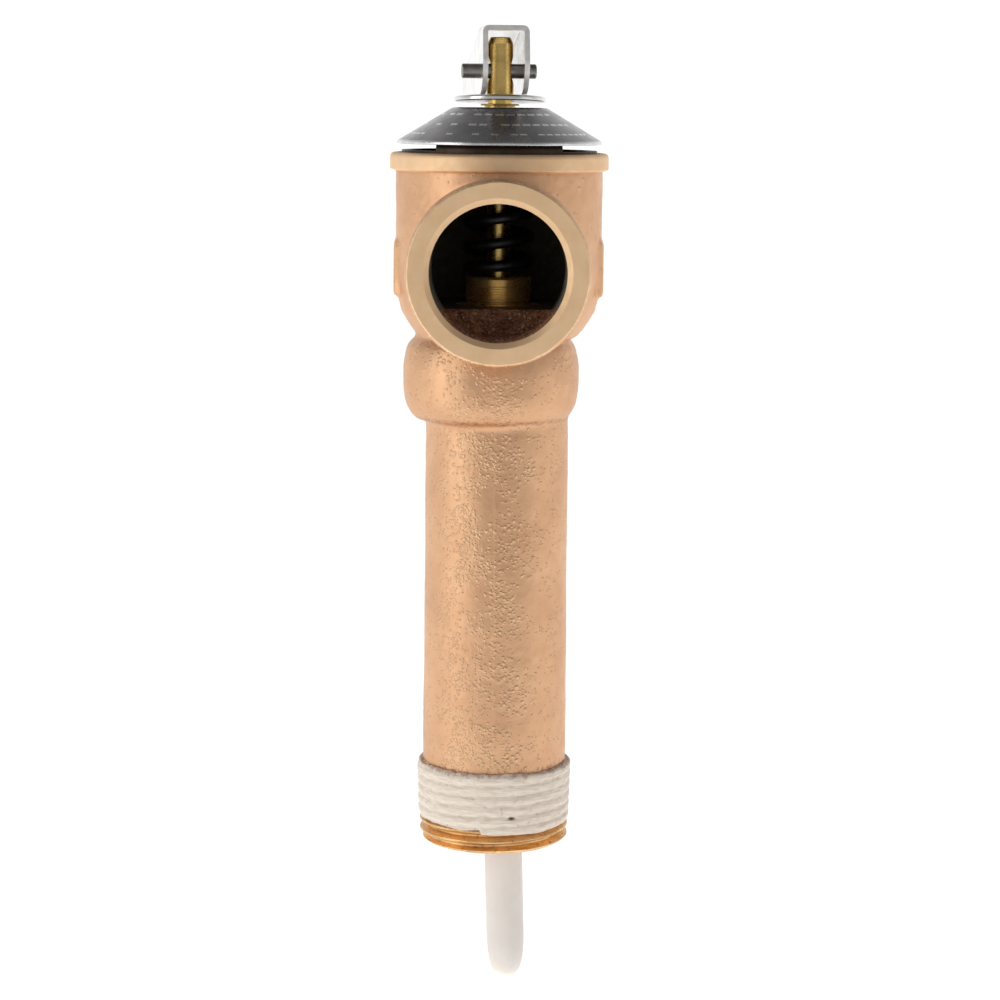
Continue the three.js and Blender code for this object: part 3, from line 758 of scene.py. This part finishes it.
def cavity():
    """The turned passage from the inlet's bore through the seat to the chamber."""
    return turned(
        "cavity",
        [[0, -1], [9.7, -1], [9.7, 0], [9.25, 0.45, 0.1], [9.25, 70], [8.6, 70], [8.6, 84], [3.6, 88.5],
         [3.6, 93.6, 0.1], [4.4, 93.6, 0.15], [4.4, 92.4], [7, 92.4], [7, CHAMBER_FLOOR, 0.4],
         [CHAMBER_BORE, CHAMBER_FLOOR, 0.8], [CHAMBER_BORE, 116.3], [16.95, 116.3], [16.95, TOP - 0.25],
         [17.2, TOP], [17.2, TOP + 1], [0, TOP + 1]],
        segments=120,
    )


def rough_end(point):
    """How far the raw metal stands out of the socket's flat end."""
    if point.z < SOCKET_DEPTH - 0.01 or point.xy.length > SOCKET_BORE - 0.2:
        return 0.0
    return 0.30 * wobble(point, 0.9, 21.0) + 0.30 * wobble(point, 2.2, 17.0)


def outlet_socket():
    """What the outlet's thread, countersink and throat take away."""
    thread = into_outlet(threaded_rod("outlet_thread", 12.7, -THREAD_TAPER, -PITCH, SOCKET_DEPTH))
    limit = into_outlet(plug("outlet_limit", 14.1, 1.2, SOCKET_DEPTH - 0.8))
    combine("INTERSECT", thread, limit)
    rings = 36
    end = [[SOCKET_BORE * (1 - i / rings), SOCKET_DEPTH] for i in range(rings)]
    lip = [[0, -1], [12.85, -1], [12.25, 0], [12.1, 0.1], [SOCKET_BORE, 0.75]]
    plain = turned("outlet_plain", [*lip, *end, [0, SOCKET_DEPTH]], segments=160)
    into_outlet(push_points(plain, rough_end))
    throat = into_outlet(plug("throat", SOCKET_BORE - 0.1, SOCKET_DEPTH - 1, 19))
    above = block("above_floor", (-RIM_RADIUS, OUTLET_FACE, CHAMBER_FLOOR), (RIM_RADIUS, 0, TOP))
    return combine("UNION", thread, plain, combine("INTERSECT", throat, above))


CAST_PART, ROUND_Z, ROUND_OUTLET, RAW_PART, SHADE_PART, THREAD_PART = range(6)


def body_region(centre, _normal):
    """Which finish a face of the body has, from where it lies."""
    across = centre.xy.length
    outlet_radius = math.hypot(centre.x, centre.z - OUTLET_Z)
    depth = centre.y - OUTLET_FACE
    if depth < RING_DEPTH and outlet_radius < RING_RADIUS:
        return ROUND_OUTLET
    in_bore = outlet_radius < BOSS_INSIDE
    if in_bore and depth < SOCKET_DEPTH + 0.9 and centre.z < CHAMBER_FLOOR + 0.1:
        return RAW_PART
    # The deep outlet bore takes the painted shade.
    if in_bore and depth < SOCKET_DEPTH + 5.2 and centre.y < -7:
        return SHADE_PART
    if centre.z > TOP - 3.15 and across > 15:
        return ROUND_Z
    if centre.z < INLET_LENGTH + 0.75:
        return THREAD_PART
    # The chamber's inside takes the painted shade too.
    if across < CHAMBER_BORE + 0.02 and centre.z > CHAMBER_FLOOR - 0.02:
        return SHADE_PART
    if across < 9.3:
        return ROUND_Z
    return CAST_PART


def body_piece():
    skin = casting()
    face_cut = block("face_cut", (-20, OUTLET_FACE - 4, 80), (20, OUTLET_FACE, 120))
    combine("DIFFERENCE", skin, face_cut)
    combine("UNION", skin, machined_rim(), inlet_thread())
    combine("DIFFERENCE", skin, cavity(), outlet_socket())
    skin.name = "body_casting"
    paint(skin, body_region)
    finishes = [CAST, TURNED_Z, TURNED_Y, RAW, PAINTED_SHADE_BRONZE, WORN_THREAD]
    return finished(skin, finishes, "root", "cast_bronze", "valve_body")


# ---- Sealant -----------------------------------------------------------------------------
def sealant_edges(angle):
    """Heights of the paste's ragged lower and upper edges on one side of the thread."""
    side = Vector((math.cos(angle), math.sin(angle), 0))
    ahead = -math.pi / 2 - 0.16 < angle < 1.2  # where another turn of paste was laid below the rest
    low = (3.5 if ahead else 4.3) + 0.22 * wobble(side, 0.3, 5.0) + 0.1 * wobble(side, 0.07, 6.0)
    high = INLET_LENGTH + 0.75 + 0.30 * wobble(side, 0.22, 1.0) + 0.22 * wobble(side, 0.06, 2.0)
    return low, high


def sealant_radius(angle, height, share):
    """The paste's outer face: it fills the thread's valleys and stands a little above its crests."""
    turn = ((height + PITCH) / PITCH - (angle % (2 * math.pi)) / (2 * math.pi)) % 1.0
    valley = (0.5 + 0.5 * math.cos(2 * math.pi * turn)) ** 2
    crest = min(INLET_CREST + THREAD_TAPER * height, 12.75 + max(0.0, INLET_LENGTH + 1.0 - height))
    place = Vector((math.cos(angle) * 13, math.sin(angle) * 13, height))
    lumps = 0.12 * wobble(place, 1.3, 4.0) + 0.07 * wobble(place, 0.5, 8.0)
    fade = min(1.0, 9 * share, 9 * (1 - share))
    burst = (place - SEALANT_VOID) * 1.6
    burst.z *= VOID_FLATNESS
    return crest - 0.17 * valley + (0.12 + lumps) * fade - 0.5 * math.exp(-burst.length_squared)


def sealant_piece():
    """Paste over the upper threads: a shell that follows them."""
    segments, rows = 200, 60
    core = INLET_CREST - THREAD_DEPTH - 0.2
    outside, inside = [], []
    for i in range(segments):
        angle = 2 * math.pi * i / segments - math.pi
        low, high = sealant_edges(angle)
        for j in range(rows + 1):
            height = low + (high - low) * j / rows
            outer = sealant_radius(angle, height, j / rows)
            outside.append((outer * math.cos(angle), outer * math.sin(angle), height))
            inside.append((core * math.cos(angle), core * math.sin(angle), height))
    stride = rows + 1
    count = len(outside)
    faces = []
    for i in range(segments):
        here, there = i * stride, ((i + 1) % segments) * stride
        for j in range(rows):
            faces.append([here + j, there + j, there + j + 1, here + j + 1])
            inner = [here + j, here + j + 1, there + j + 1, there + j]
            faces.append([count + corner for corner in inner])
        faces.append([here, count + here, count + there, there])
        faces.append([here + rows, there + rows, count + there + rows, count + here + rows])
    piece = mesh_object("thread_sealant", outside + inside, faces)
    return finished(piece, [SEALANT], "root", "white_coating")


# ---- Bonnet and nameplate ----------------------------------------------------------------
PLATE_FLAT = 8.0
PLATE_RADIUS = PLATE_HIGH.x
PLATE_EDGE = PLATE_LOW.z
PLATE_TOP = PLATE_HIGH.z
HEM = 0.55
CONE_SLOPE = (PLATE_TOP - PLATE_EDGE - HEM) / (PLATE_RADIUS - PLATE_FLAT)
BONNET_RADIUS = BONNET_HIGH.x
BONNET_TOP = BONNET_HIGH.z
SHEET = 1.2
UPRIGHT = Matrix.Rotation(math.pi / 2, 4, "X")  # stands a flat outline up, to be seen from the front


def cone_height(radius):
    """Height of the nameplate's upper face at a radius."""
    return PLATE_TOP - (radius - PLATE_FLAT) * CONE_SLOPE


def bonnet_piece():
    """A strap of the pressed cup on each side of a hoop that sits in the body's mouth."""
    radius = BONNET_RADIUS
    low = BONNET_LOW.z
    under = PLATE_TOP - BONNET_TOP
    shoulder = radius - 0.75
    hole = EYELET_HIGH.x - 1.1
    foot_top = low + 1.3
    hoop_top = TOP + 0.4
    foot = radius - 3.05
    cup = turned(
        "cup",
        [[radius, low, 0.15], [radius, cone_height(radius) - under - 0.75, 0.4],
         [shoulder, cone_height(shoulder) - under, 0.4], [7.9, BONNET_TOP, 0.5], [hole, BONNET_TOP],
         [hole, BONNET_TOP - SHEET], [7.55, BONNET_TOP - SHEET, 0.4],
         [radius - 1.7, cone_height(radius - 1.4) - under - SHEET, 0.4],
         [radius - SHEET, cone_height(radius) - under - 1.9, 0.3], [radius - SHEET, foot_top, 0.4],
         [foot, foot_top, 0.2], [foot, low, 0.2]],
        segments=144,
    )
    half_top, half_bottom = 10.0, 10.6
    strap_low, strap_high = hoop_top - 0.5, BONNET_TOP + 1
    strap = prism(
        "strap",
        [(-half_bottom, strap_low), (half_bottom, strap_low), (half_top, strap_high),
         (-half_top, strap_high)],
        2 * radius + 2, UPRIGHT,
    )
    hoop = plug("hoop", radius + 1, low - 1, hoop_top, segments=144)
    piece = combine("INTERSECT", cup, combine("UNION", strap, hoop))
    piece.name = "bonnet_pressing"

    def cut_edge(centre, normal):
        side = abs(normal.x) > 0.9 and 9.5 < abs(centre.x) < 10.9 and centre.z > hoop_top
        return 1 if side or (normal.z > 0.9 and abs(centre.z - hoop_top) < 0.01) else 0

    paint(piece, cut_edge)
    return finished(piece, [DARK_STEEL, CUT_STEEL], "root", "dark_steel", "bonnet")


def nameplate_piece():
    hole = EYELET_HIGH.x - 0.4
    under = PLATE_TOP - 0.5
    hem_top = PLATE_EDGE + HEM
    piece = turned(
        "nameplate_disc",
        [[hole, under], [hole, PLATE_TOP, 0.1], [PLATE_FLAT, PLATE_TOP, 0.5],
         [PLATE_RADIUS - 0.25, hem_top + 0.1, 0.2], [PLATE_RADIUS, hem_top - 0.1, 0.15],
         [PLATE_RADIUS, PLATE_EDGE, 0.12], [PLATE_RADIUS - 0.35, PLATE_EDGE, 0.1],
         [PLATE_RADIUS - 0.55, PLATE_EDGE + 0.2, 0.1], [PLATE_FLAT - 0.2, under, 0.4]],
        segments=180,
    )

    def bare(centre, normal):
        """The print covers the upper face up to a bright rim."""
        return 0 if normal.z > 0.2 and centre.xy.length < PLATE_RADIUS - 0.3 else 1

    paint(piece, bare)
    return finished(piece, [BLACK_PLATE, ALUMINIUM], "root", "black_plate", "nameplate")


def eyelet_piece():
    bore = STEM_RADIUS + 0.08
    low, high = EYELET_LOW.z, EYELET_HIGH.z
    piece = turned(
        "eyelet",
        [[bore, low, 0.1], [4, low, 0.15], [4, low + 0.6, 0.2], [2.6, low + 0.6], [2.6, PLATE_TOP + 0.3],
         [3.3, PLATE_TOP + 0.3, 0.1], [3.3, high, 0.25], [bore, high, 0.15]],
        segments=72,
    )
    return finished(piece, [BRASS], "root", "turned_brass", "bonnet_eyelet")


def spring_seat_piece():
    low, high = SEAT_RING_LOW.z, SEAT_RING_HIGH.z
    bore, radius = 4.4, 6.6
    piece = turned(
        "spring_washer",
        [[bore, low, 0.1], [radius, low, 0.15], [radius, high, 0.3], [bore, high, 0.15]],
        segments=72,
    )
    return finished(piece, [DARK_STEEL], "root", "dark_steel", "spring_seat")


# ---- Spring, disc holder and stem --------------------------------------------------------
SPRING_WIRE = 0.95
SPRING_RADIUS = 5.2
SPRING_PITCH = 4.2
END_PITCH = 0.6
SPRING_FOOT, SPRING_HEAD = 99.35, 123.7


def closed_rise(t):
    """Height gained from the start of the spring's closed end, t turns in, for t from 0 to 1."""
    return END_PITCH * t + (SPRING_PITCH - END_PITCH) * (t**3 - t**4 / 2)


def spring_point(t, turns):
    """The wire's centre t turns from its lower end."""
    left = turns - t
    height = SPRING_FOOT + SPRING_WIRE + closed_rise(1) + SPRING_PITCH * (t - 1)
    if t < 1:
        height = SPRING_FOOT + SPRING_WIRE + closed_rise(t)
    if left < 1:
        height = SPRING_HEAD - SPRING_WIRE - closed_rise(left)
    angle = math.pi / 2 + 2 * math.pi * t
    return Vector((SPRING_RADIUS * math.cos(angle), SPRING_RADIUS * math.sin(angle), height))


def spring_piece():
    length = SPRING_HEAD - SPRING_FOOT
    open_length = length - 2 * SPRING_WIRE - (SPRING_PITCH + END_PITCH)
    turns = 2 + open_length / SPRING_PITCH
    steps, sides = round(turns * 48), 14
    points, faces = [], []
    for i in range(steps + 1):
        t = turns * i / steps
        centre = spring_point(t, turns)
        ahead = spring_point(min(t + 0.01, turns), turns) - spring_point(max(t - 0.01, 0), turns)
        out = Vector((centre.x, centre.y, 0)).normalized()
        up = ahead.cross(out).normalized()
        side = up.cross(ahead).normalized()
        wire = SPRING_WIRE * (1 if 0 < i < steps else 0.8)
        for k in range(sides):
            angle = 2 * math.pi * k / sides
            points.append(centre + (side * math.cos(angle) + up * math.sin(angle)) * wire)
    for i in range(steps):
        for k in range(sides):
            m = (k + 1) % sides
            faces.append([i * sides + k, i * sides + m, (i + 1) * sides + m, (i + 1) * sides + k])
    faces.append(list(range(sides)))
    faces.append(list(range(steps * sides, (steps + 1) * sides)))
    piece = mesh_object("spring_coil", points, faces)
    finished(piece, [SPRING_STEEL], "root", "spring_steel", "relief_spring")
    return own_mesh(piece)


def holder_piece():
    low, high = HOLDER_LOW.z, HOLDER_HIGH.z
    radius = HOLDER_HIGH.x
    grooves = []
    first, last, groove = low + 1.15, high - 1.1, 0.42
    count = int((last - first) / groove)
    for i in range(count):
        z = first + i * groove
        grooves += [[radius, z + 0.12], [radius - 0.10, z + groove / 2], [radius, z + groove - 0.12]]
    piece = turned(
        "disc_carrier",
        [[1.5, low + 1.85], [5, low + 1.85], [5, low, 0.1], [radius, low, 0.12], [radius, low + 0.5, 0.08],
         [radius - 0.35, low + 0.6], [radius - 0.35, low + 0.8], [radius, low + 0.9, 0.08], *grooves,
         [radius, high - 0.35, 0.1], [radius - 0.35, high, 0.1], [2.35, high, 0.1], [2.35, low + 2.65],
         [1.5, low + 2.65]],
        segments=96,
    )
    return finished(piece, [CARRIER_BRASS], "stem_disc", "turned_brass", "disc_holder")


PIN_RADIUS, PIN_HOLE = 1.235, 1.315


def lever_frame():
    """The lever's own frame: X along the pin, Y along the lever."""
    axis = JOINTS["lever_pull"]["axis"]
    return Matrix.Rotation(math.atan2(axis[1], axis[0]), 4, "Z")


def pin_rod(name, radius, length, rounding=0.0):
    half = length / 2
    edge = [rounding] if rounding else []
    rod = turned(name, [[0, -half], [radius, -half, *edge], [radius, half, *edge], [0, half]], segments=48)
    return moved(rod, Matrix.Translation((0, 0, PIN_Z)) @ Matrix.Rotation(math.pi / 2, 4, "Y"))


def stem_piece():
    low, high = STEM_LOW.z, STEM_HIGH.z
    neck, head, waist = 2.3, 2.2, 1.6
    blank = turned(
        "stem_rod",
        [[0, low], [STEM_RADIUS, low, 0.15], [STEM_RADIUS, WASHER_HIGH.z - 0.6, 0.1],
         [neck, WASHER_HIGH.z + 0.3, 0.15], [neck, PIN_Z + 1.5, 0.1], [head, PIN_Z + 2.8, 0.1],
         [head, high - 1.1, 0.25], [head - 0.5, high, 0.15], [0, high]],
        segments=72,
    )
    low_end, high_end = PIN_Z - 3.2, PIN_Z + 4.0
    narrow = PIN_Z + 0.2

    def side(sign):
        """What is pressed out of one side of the stem where the pin crosses it."""
        steps, clear = 24, 4
        outline = [(clear * sign, low_end)]
        for i in range(steps + 1):
            z = low_end + (high_end - low_end) * i / steps
            reach = (narrow - z) / (narrow - low_end) if z < narrow else (z - narrow) / (high_end - narrow)
            swell = (1 - math.cos(math.pi * reach)) / 2
            outline.append(((waist + (neck + 0.1 - waist) * swell) * sign, z))
        outline.append((clear * sign, high_end))
        return prism("flat", outline, 2 * clear, UPRIGHT)

    combine("DIFFERENCE", blank, side(1), side(-1), pin_rod("cross_hole", PIN_HOLE, 10))
    tap_radius, tap_top = 1.5, 102
    combine("DIFFERENCE", blank, plug("tapped", tap_radius, low - 1, tap_top, segments=48))
    bevelled(blank, 0.06)
    moved(blank, lever_frame())
    return finished(blank, [BRASS], "stem_disc", "turned_brass", "stem")


def pin_piece():
    length, shift = 12.8, -0.2
    piece = pin_rod("pivot_pin", PIN_RADIUS, length, 0.35)
    moved(piece, lever_frame() @ Matrix.Translation((shift, 0, 0)))
    return finished(piece, [PIN_STEEL], "stem_disc", "pin_steel", "lever_pin")


# ---- Lever and washer --------------------------------------------------------------------
WASHER_TILT = math.radians(-3.2)  # it lies loose on the bonnet, its front edge raised


def washer_piece():
    low, high = WASHER_LOW.z, WASHER_HIGH.z
    radius = WASHER_HIGH.x
    piece = turned(
        "cam_washer",
        [[2.45, high - 0.8, 0.1], [2.45, high - 0.05, 0.1], [radius * 0.6, high, 0.5],
         [radius - 0.3, high - 0.1, 0.2], [radius, high - 0.35, 0.15], [radius, low + 0.15, 0.12],
         [radius - 0.3, low, 0.15], [radius * 0.6, high - 0.8, 0.5]],
        segments=144,
    )
    middle = Matrix.Translation((0, 0, (low + high) / 2))
    moved(piece, middle @ Matrix.Rotation(WASHER_TILT, 4, "X") @ middle.inverted())
    return finished(piece, [STEEL], "swivel", "bright_steel", "lever_washer")


LEVER_WIDTH, LEVER_SHEET = 7.9, 0.87
LEVER_SHIFT = 0.3  # along the pin, which the lever fits loosely
CROWN, FRONT, TAIL, SOLE = 7.6, -6.0, 29.0, -3.9
CAM_RISE = 2.0  # lift in millimetres for each radian that the lever turns
SHOULDER = (2.9, CROWN - 0.36)
HEEL = (TAIL - 1.2, 0.1)
SLOPE = math.atan2(SHOULDER[1] - HEEL[1], HEEL[0] - SHOULDER[0])


def cam_point(turn):
    """The cam's edge, [along the lever, up] from the pin's centre: the involute that lifts the pin evenly."""
    reach = -SOLE + CAM_RISE * turn
    sine, cosine = math.sin(turn), math.cos(turn)
    return (-reach * sine - CAM_RISE * cosine, -reach * cosine + CAM_RISE * sine)


def curve_between(start, corner, end, steps=6):
    """Points of a quadratic curve, without its first."""
    for k in range(1, steps + 1):
        t = k / steps
        a, b, c = (1 - t) ** 2, 2 * t * (1 - t), t * t
        yield (a * start[0] + b * corner[0] + c * end[0], a * start[1] + b * corner[1] + c * end[1])


def lever_outline():
    steps = 20
    outline = [(FRONT, CROWN)]
    outline += [cam_point(math.pi / 2 * i / steps) for i in range(steps, -1, -1)]
    start = (TAIL - 2.4, SOLE)
    outline.append(start)
    outline += curve_between(start, (TAIL, SOLE), (TAIL, SOLE + 1.8))
    outline += curve_between((TAIL, SOLE + 1.8), (TAIL, -0.1), HEEL)
    outline += curve_between(SHOULDER, (1.8, CROWN), (0.6, CROWN))
    return outline


def rounded_bar(name, width, top, rounding, slope=0.0):
    """A long bar along the lever, rounded on both upper edges, its top at a height above the pin's centre.

    A sloping bar's top falls away behind and passes through the lever's shoulder."""
    half, foot, length = width / 2, -30, 120
    inner, side = half - rounding, top - rounding
    section = [(-half, foot), (-half, side)]
    section += curve_between((-half, side), (-half, top), (-inner, top))
    section += [(inner, top)]
    section += curve_between((inner, top), (half, top), (half, side))
    section += [(half, foot)]
    stand = Matrix(((1, 0, 0, 0), (0, 0, -1, 0), (0, 1, 0, 0), (0, 0, 0, 1)))
    shoulder = Matrix.Translation((0, SHOULDER[0], PIN_Z + SHOULDER[1] if slope else PIN_Z))
    return prism(name, section, length, shoulder @ Matrix.Rotation(-slope, 4, "X") @ stand)


def lever_edge(centre, normal):
    """The sheared edges that the lever shows in front."""
    under_crown = centre.z < PIN_Z + CROWN - 1.5 and centre.y < 0
    across_sheet = math.hypot(normal.y, normal.z) > 0.6
    return 1 if across_sheet and under_crown or normal.y < -0.6 else 0


def lever_piece():
    axes = Matrix(((0, 0, 1, 0), (1, 0, 0, 0), (0, 1, 0, PIN_Z), (0, 0, 0, 1)))
    blank = prism("test_lever", lever_outline(), LEVER_WIDTH, axes)
    bend = 1.25
    outside = rounded_bar("crown_bar", LEVER_WIDTH, CROWN, bend)
    behind = rounded_bar("slope_bar", LEVER_WIDTH, 0.0, bend, SLOPE)
    inner = LEVER_WIDTH - 2 * LEVER_SHEET
    channel = rounded_bar("crown_channel", inner, CROWN - LEVER_SHEET, bend - LEVER_SHEET)
    channel_behind = rounded_bar("slope_channel", inner, -LEVER_SHEET, bend - LEVER_SHEET, SLOPE)
    combine("INTERSECT", blank, outside, behind)
    combine("INTERSECT", channel, channel_behind)
    combine("DIFFERENCE", blank, channel, pin_rod("pin_hole", PIN_HOLE, 20))
    bevelled(blank, 0.38, segments=4)
    paint(blank, lever_edge)
    moved(blank, lever_frame() @ Matrix.Translation((LEVER_SHIFT, 0, 0)))
    return finished(blank, [STEEL, SHEARED_STEEL], "lever_arm", "bright_steel", "lever")


# ---- Probe -------------------------------------------------------------------------------
PROBE_PIVOT = Vector((0, 0, 56))
PROBE_LEAN = math.radians(-1.74)  # about the pivot, so the tip lies off the valve's axis
PROBE_TIP, PROBE_TOP = -25.5, 52.5  # before it leans


def probe_piece():
    tip, top = PROBE_TIP, PROBE_TOP
    radius, bore = 3.325, 2.75
    end = tip + 3.1
    piece = turned(
        "probe_coating",
        [[0, tip], [1.3, tip, 0.4], [2.1, tip + 0.6, 0.5], [2.65, tip + 1.6, 0.6], [2.95, tip + 2.8, 0.7],
         [3.2, tip + 4.6, 1], [radius, tip + 6.6, 1], [radius, top, 0.2], [bore, top, 0.1], [bore, end],
         [0, end]],
        segments=72,
    )
    lean = Matrix.Rotation(PROBE_LEAN, 4, "Y")
    moved(piece, Matrix.Translation(PROBE_PIVOT) @ lean @ Matrix.Translation(-PROBE_PIVOT))
    return finished(piece, [COATING], "root", "white_coating", "probe_sheath")


# ---- Hidden pieces, which keep their CAD shapes -------------------------------------------
INNER_FINISHES = {
    "seat_disc": RUBBER,
    "disc_retainer": BRASS,
    "retainer_screw": BRASS,
    "thermostat_case": BRASS,
    "thermostat_guide": BRASS,
    "guide_nut": BRASS,
    "piston_seal": RUBBER,
    "thermostat_piston": PIN_STEEL,
    "sensing_tube": COPPER,
    "thermal_charge": WAX,
}


def dress_inner_pieces():
    for node, material in INNER_FINISHES.items():
        mesh = frame["nodes"][node].data
        mesh.materials.clear()
        mesh.materials.append(material)


# ---- Studio ------------------------------------------------------------------------------
DEPTH_SHADES = [(0.0, 0.36), (0.12, 0.36), (0.34, 0.42), (0.5, 0.5), (0.75, 0.85), (1.0, 1.05)]
HEIGHT_SHADES = [(0.0, 1.0), (0.42, 0.95), (0.5, 0.70), (0.60, 0.67), (0.8, 0.40), (0.92, 0.15), (1.0, 0.08)]
WORLD_STRENGTH = 1.5
WHITE = 1.05  # of the background that the camera sees
CAMERA_PLACE = (0.00064, -0.466, 0.1297)
CAMERA_PITCH, CAMERA_ROLL = math.radians(8.5), math.radians(0.53)


def camera():
    data = bpy.data.cameras.new("camera")
    data.sensor_width = 36
    data.lens = 97.56
    made = placed("camera", data)
    down = Matrix.Rotation(math.pi / 2 - CAMERA_PITCH, 4, "X")
    made.matrix_world = Matrix.Translation(CAMERA_PLACE) @ down @ Matrix.Rotation(CAMERA_ROLL, 4, "Z")
    bpy.context.scene.camera = made


def softbox(name, place, aim, size, power):
    data = bpy.data.lights.new(name, "AREA")
    data.shape = "RECTANGLE"
    data.size, data.size_y = size
    data.energy = power
    made = placed(name, data)
    made.location = place
    made.rotation_euler = (Vector(aim) - Vector(place)).to_track_quat("-Z", "Y").to_euler()


def surroundings():
    """A pale room, dimmer overhead and behind the camera, and plain white where the camera sees it."""
    world = bpy.data.worlds.new("studio")
    bpy.context.scene.world = world
    world.use_nodes = True
    tree = world.node_tree
    tree.nodes.clear()
    link = tree.links.new
    parts = tree.nodes.new("ShaderNodeSeparateXYZ")
    link(tree.nodes.new("ShaderNodeTexCoord").outputs["Generated"], parts.inputs["Vector"])

    def ramp(axis, shades):
        """Brightness along one axis, from its -1 at the ramp's 0 to its +1 at the ramp's 1."""
        stretch = tree.nodes.new("ShaderNodeMapRange")
        stretch.inputs["From Min"].default_value = -1
        link(parts.outputs[axis], stretch.inputs["Value"])
        made = tree.nodes.new("ShaderNodeValToRGB")
        link(stretch.outputs["Result"], made.inputs["Fac"])
        while len(made.color_ramp.elements) < len(shades):
            made.color_ramp.elements.new(0.5)
        for element, (position, shade) in zip(made.color_ramp.elements, shades):
            element.position = position
            element.color = (shade, shade, shade, 1)
        return made.outputs["Color"]

    dim = tree.nodes.new("ShaderNodeBackground")
    link(ramp("Y", DEPTH_SHADES), dim.inputs["Color"])
    stronger = tree.nodes.new("ShaderNodeMath")
    stronger.operation = "MULTIPLY"
    stronger.inputs[1].default_value = WORLD_STRENGTH
    link(ramp("Z", HEIGHT_SHADES), stronger.inputs[0])
    link(stronger.outputs[0], dim.inputs["Strength"])
    white = tree.nodes.new("ShaderNodeBackground")
    white.inputs["Color"].default_value = (1, 1, 1, 1)
    white.inputs["Strength"].default_value = WHITE
    mix = tree.nodes.new("ShaderNodeMixShader")
    link(tree.nodes.new("ShaderNodeLightPath").outputs["Is Camera Ray"], mix.inputs["Fac"])
    link(dim.outputs[0], mix.inputs[1])
    link(white.outputs[0], mix.inputs[2])
    link(mix.outputs[0], tree.nodes.new("ShaderNodeOutputWorld").inputs["Surface"])


def floor():
    half, front, height = 3.0, -0.30, SHEATH_LOW.z * MM - 0.0002
    corners = [(-half, front, height), (half, front, height), (half, half, height), (-half, half, height)]
    made = mesh_object("floor", corners, [[0, 1, 2, 3]])
    pale = Finish("floor_white", Emission_Strength=0.76, Emission_Color=(1, 1, 1, 1), Roughness=0.9)
    pale.tones(pale.noise(400), (0.90, 0.90, 0.90), (0.94, 0.94, 0.94))
    made.data.materials.append(pale.material)


def studio():
    camera()
    surroundings()
    floor()
    aim = (0, 0, 0.07)
    softbox("left_box", (-0.55, -0.30, 0.20), aim, (0.35, 0.7), 1.1)
    softbox("right_box", (0.60, -0.22, 0.16), aim, (0.30, 0.7), 0.2)
    view = bpy.context.scene.view_settings
    view.view_transform = "Standard"
    view.look = "None"


studio()
body_piece()
sealant_piece()
bonnet_piece()
nameplate_piece()
eyelet_piece()
spring_seat_piece()
spring_piece()
holder_piece()
stem_piece()
pin_piece()
washer_piece()
lever_piece()
probe_piece()
dress_inner_pieces()
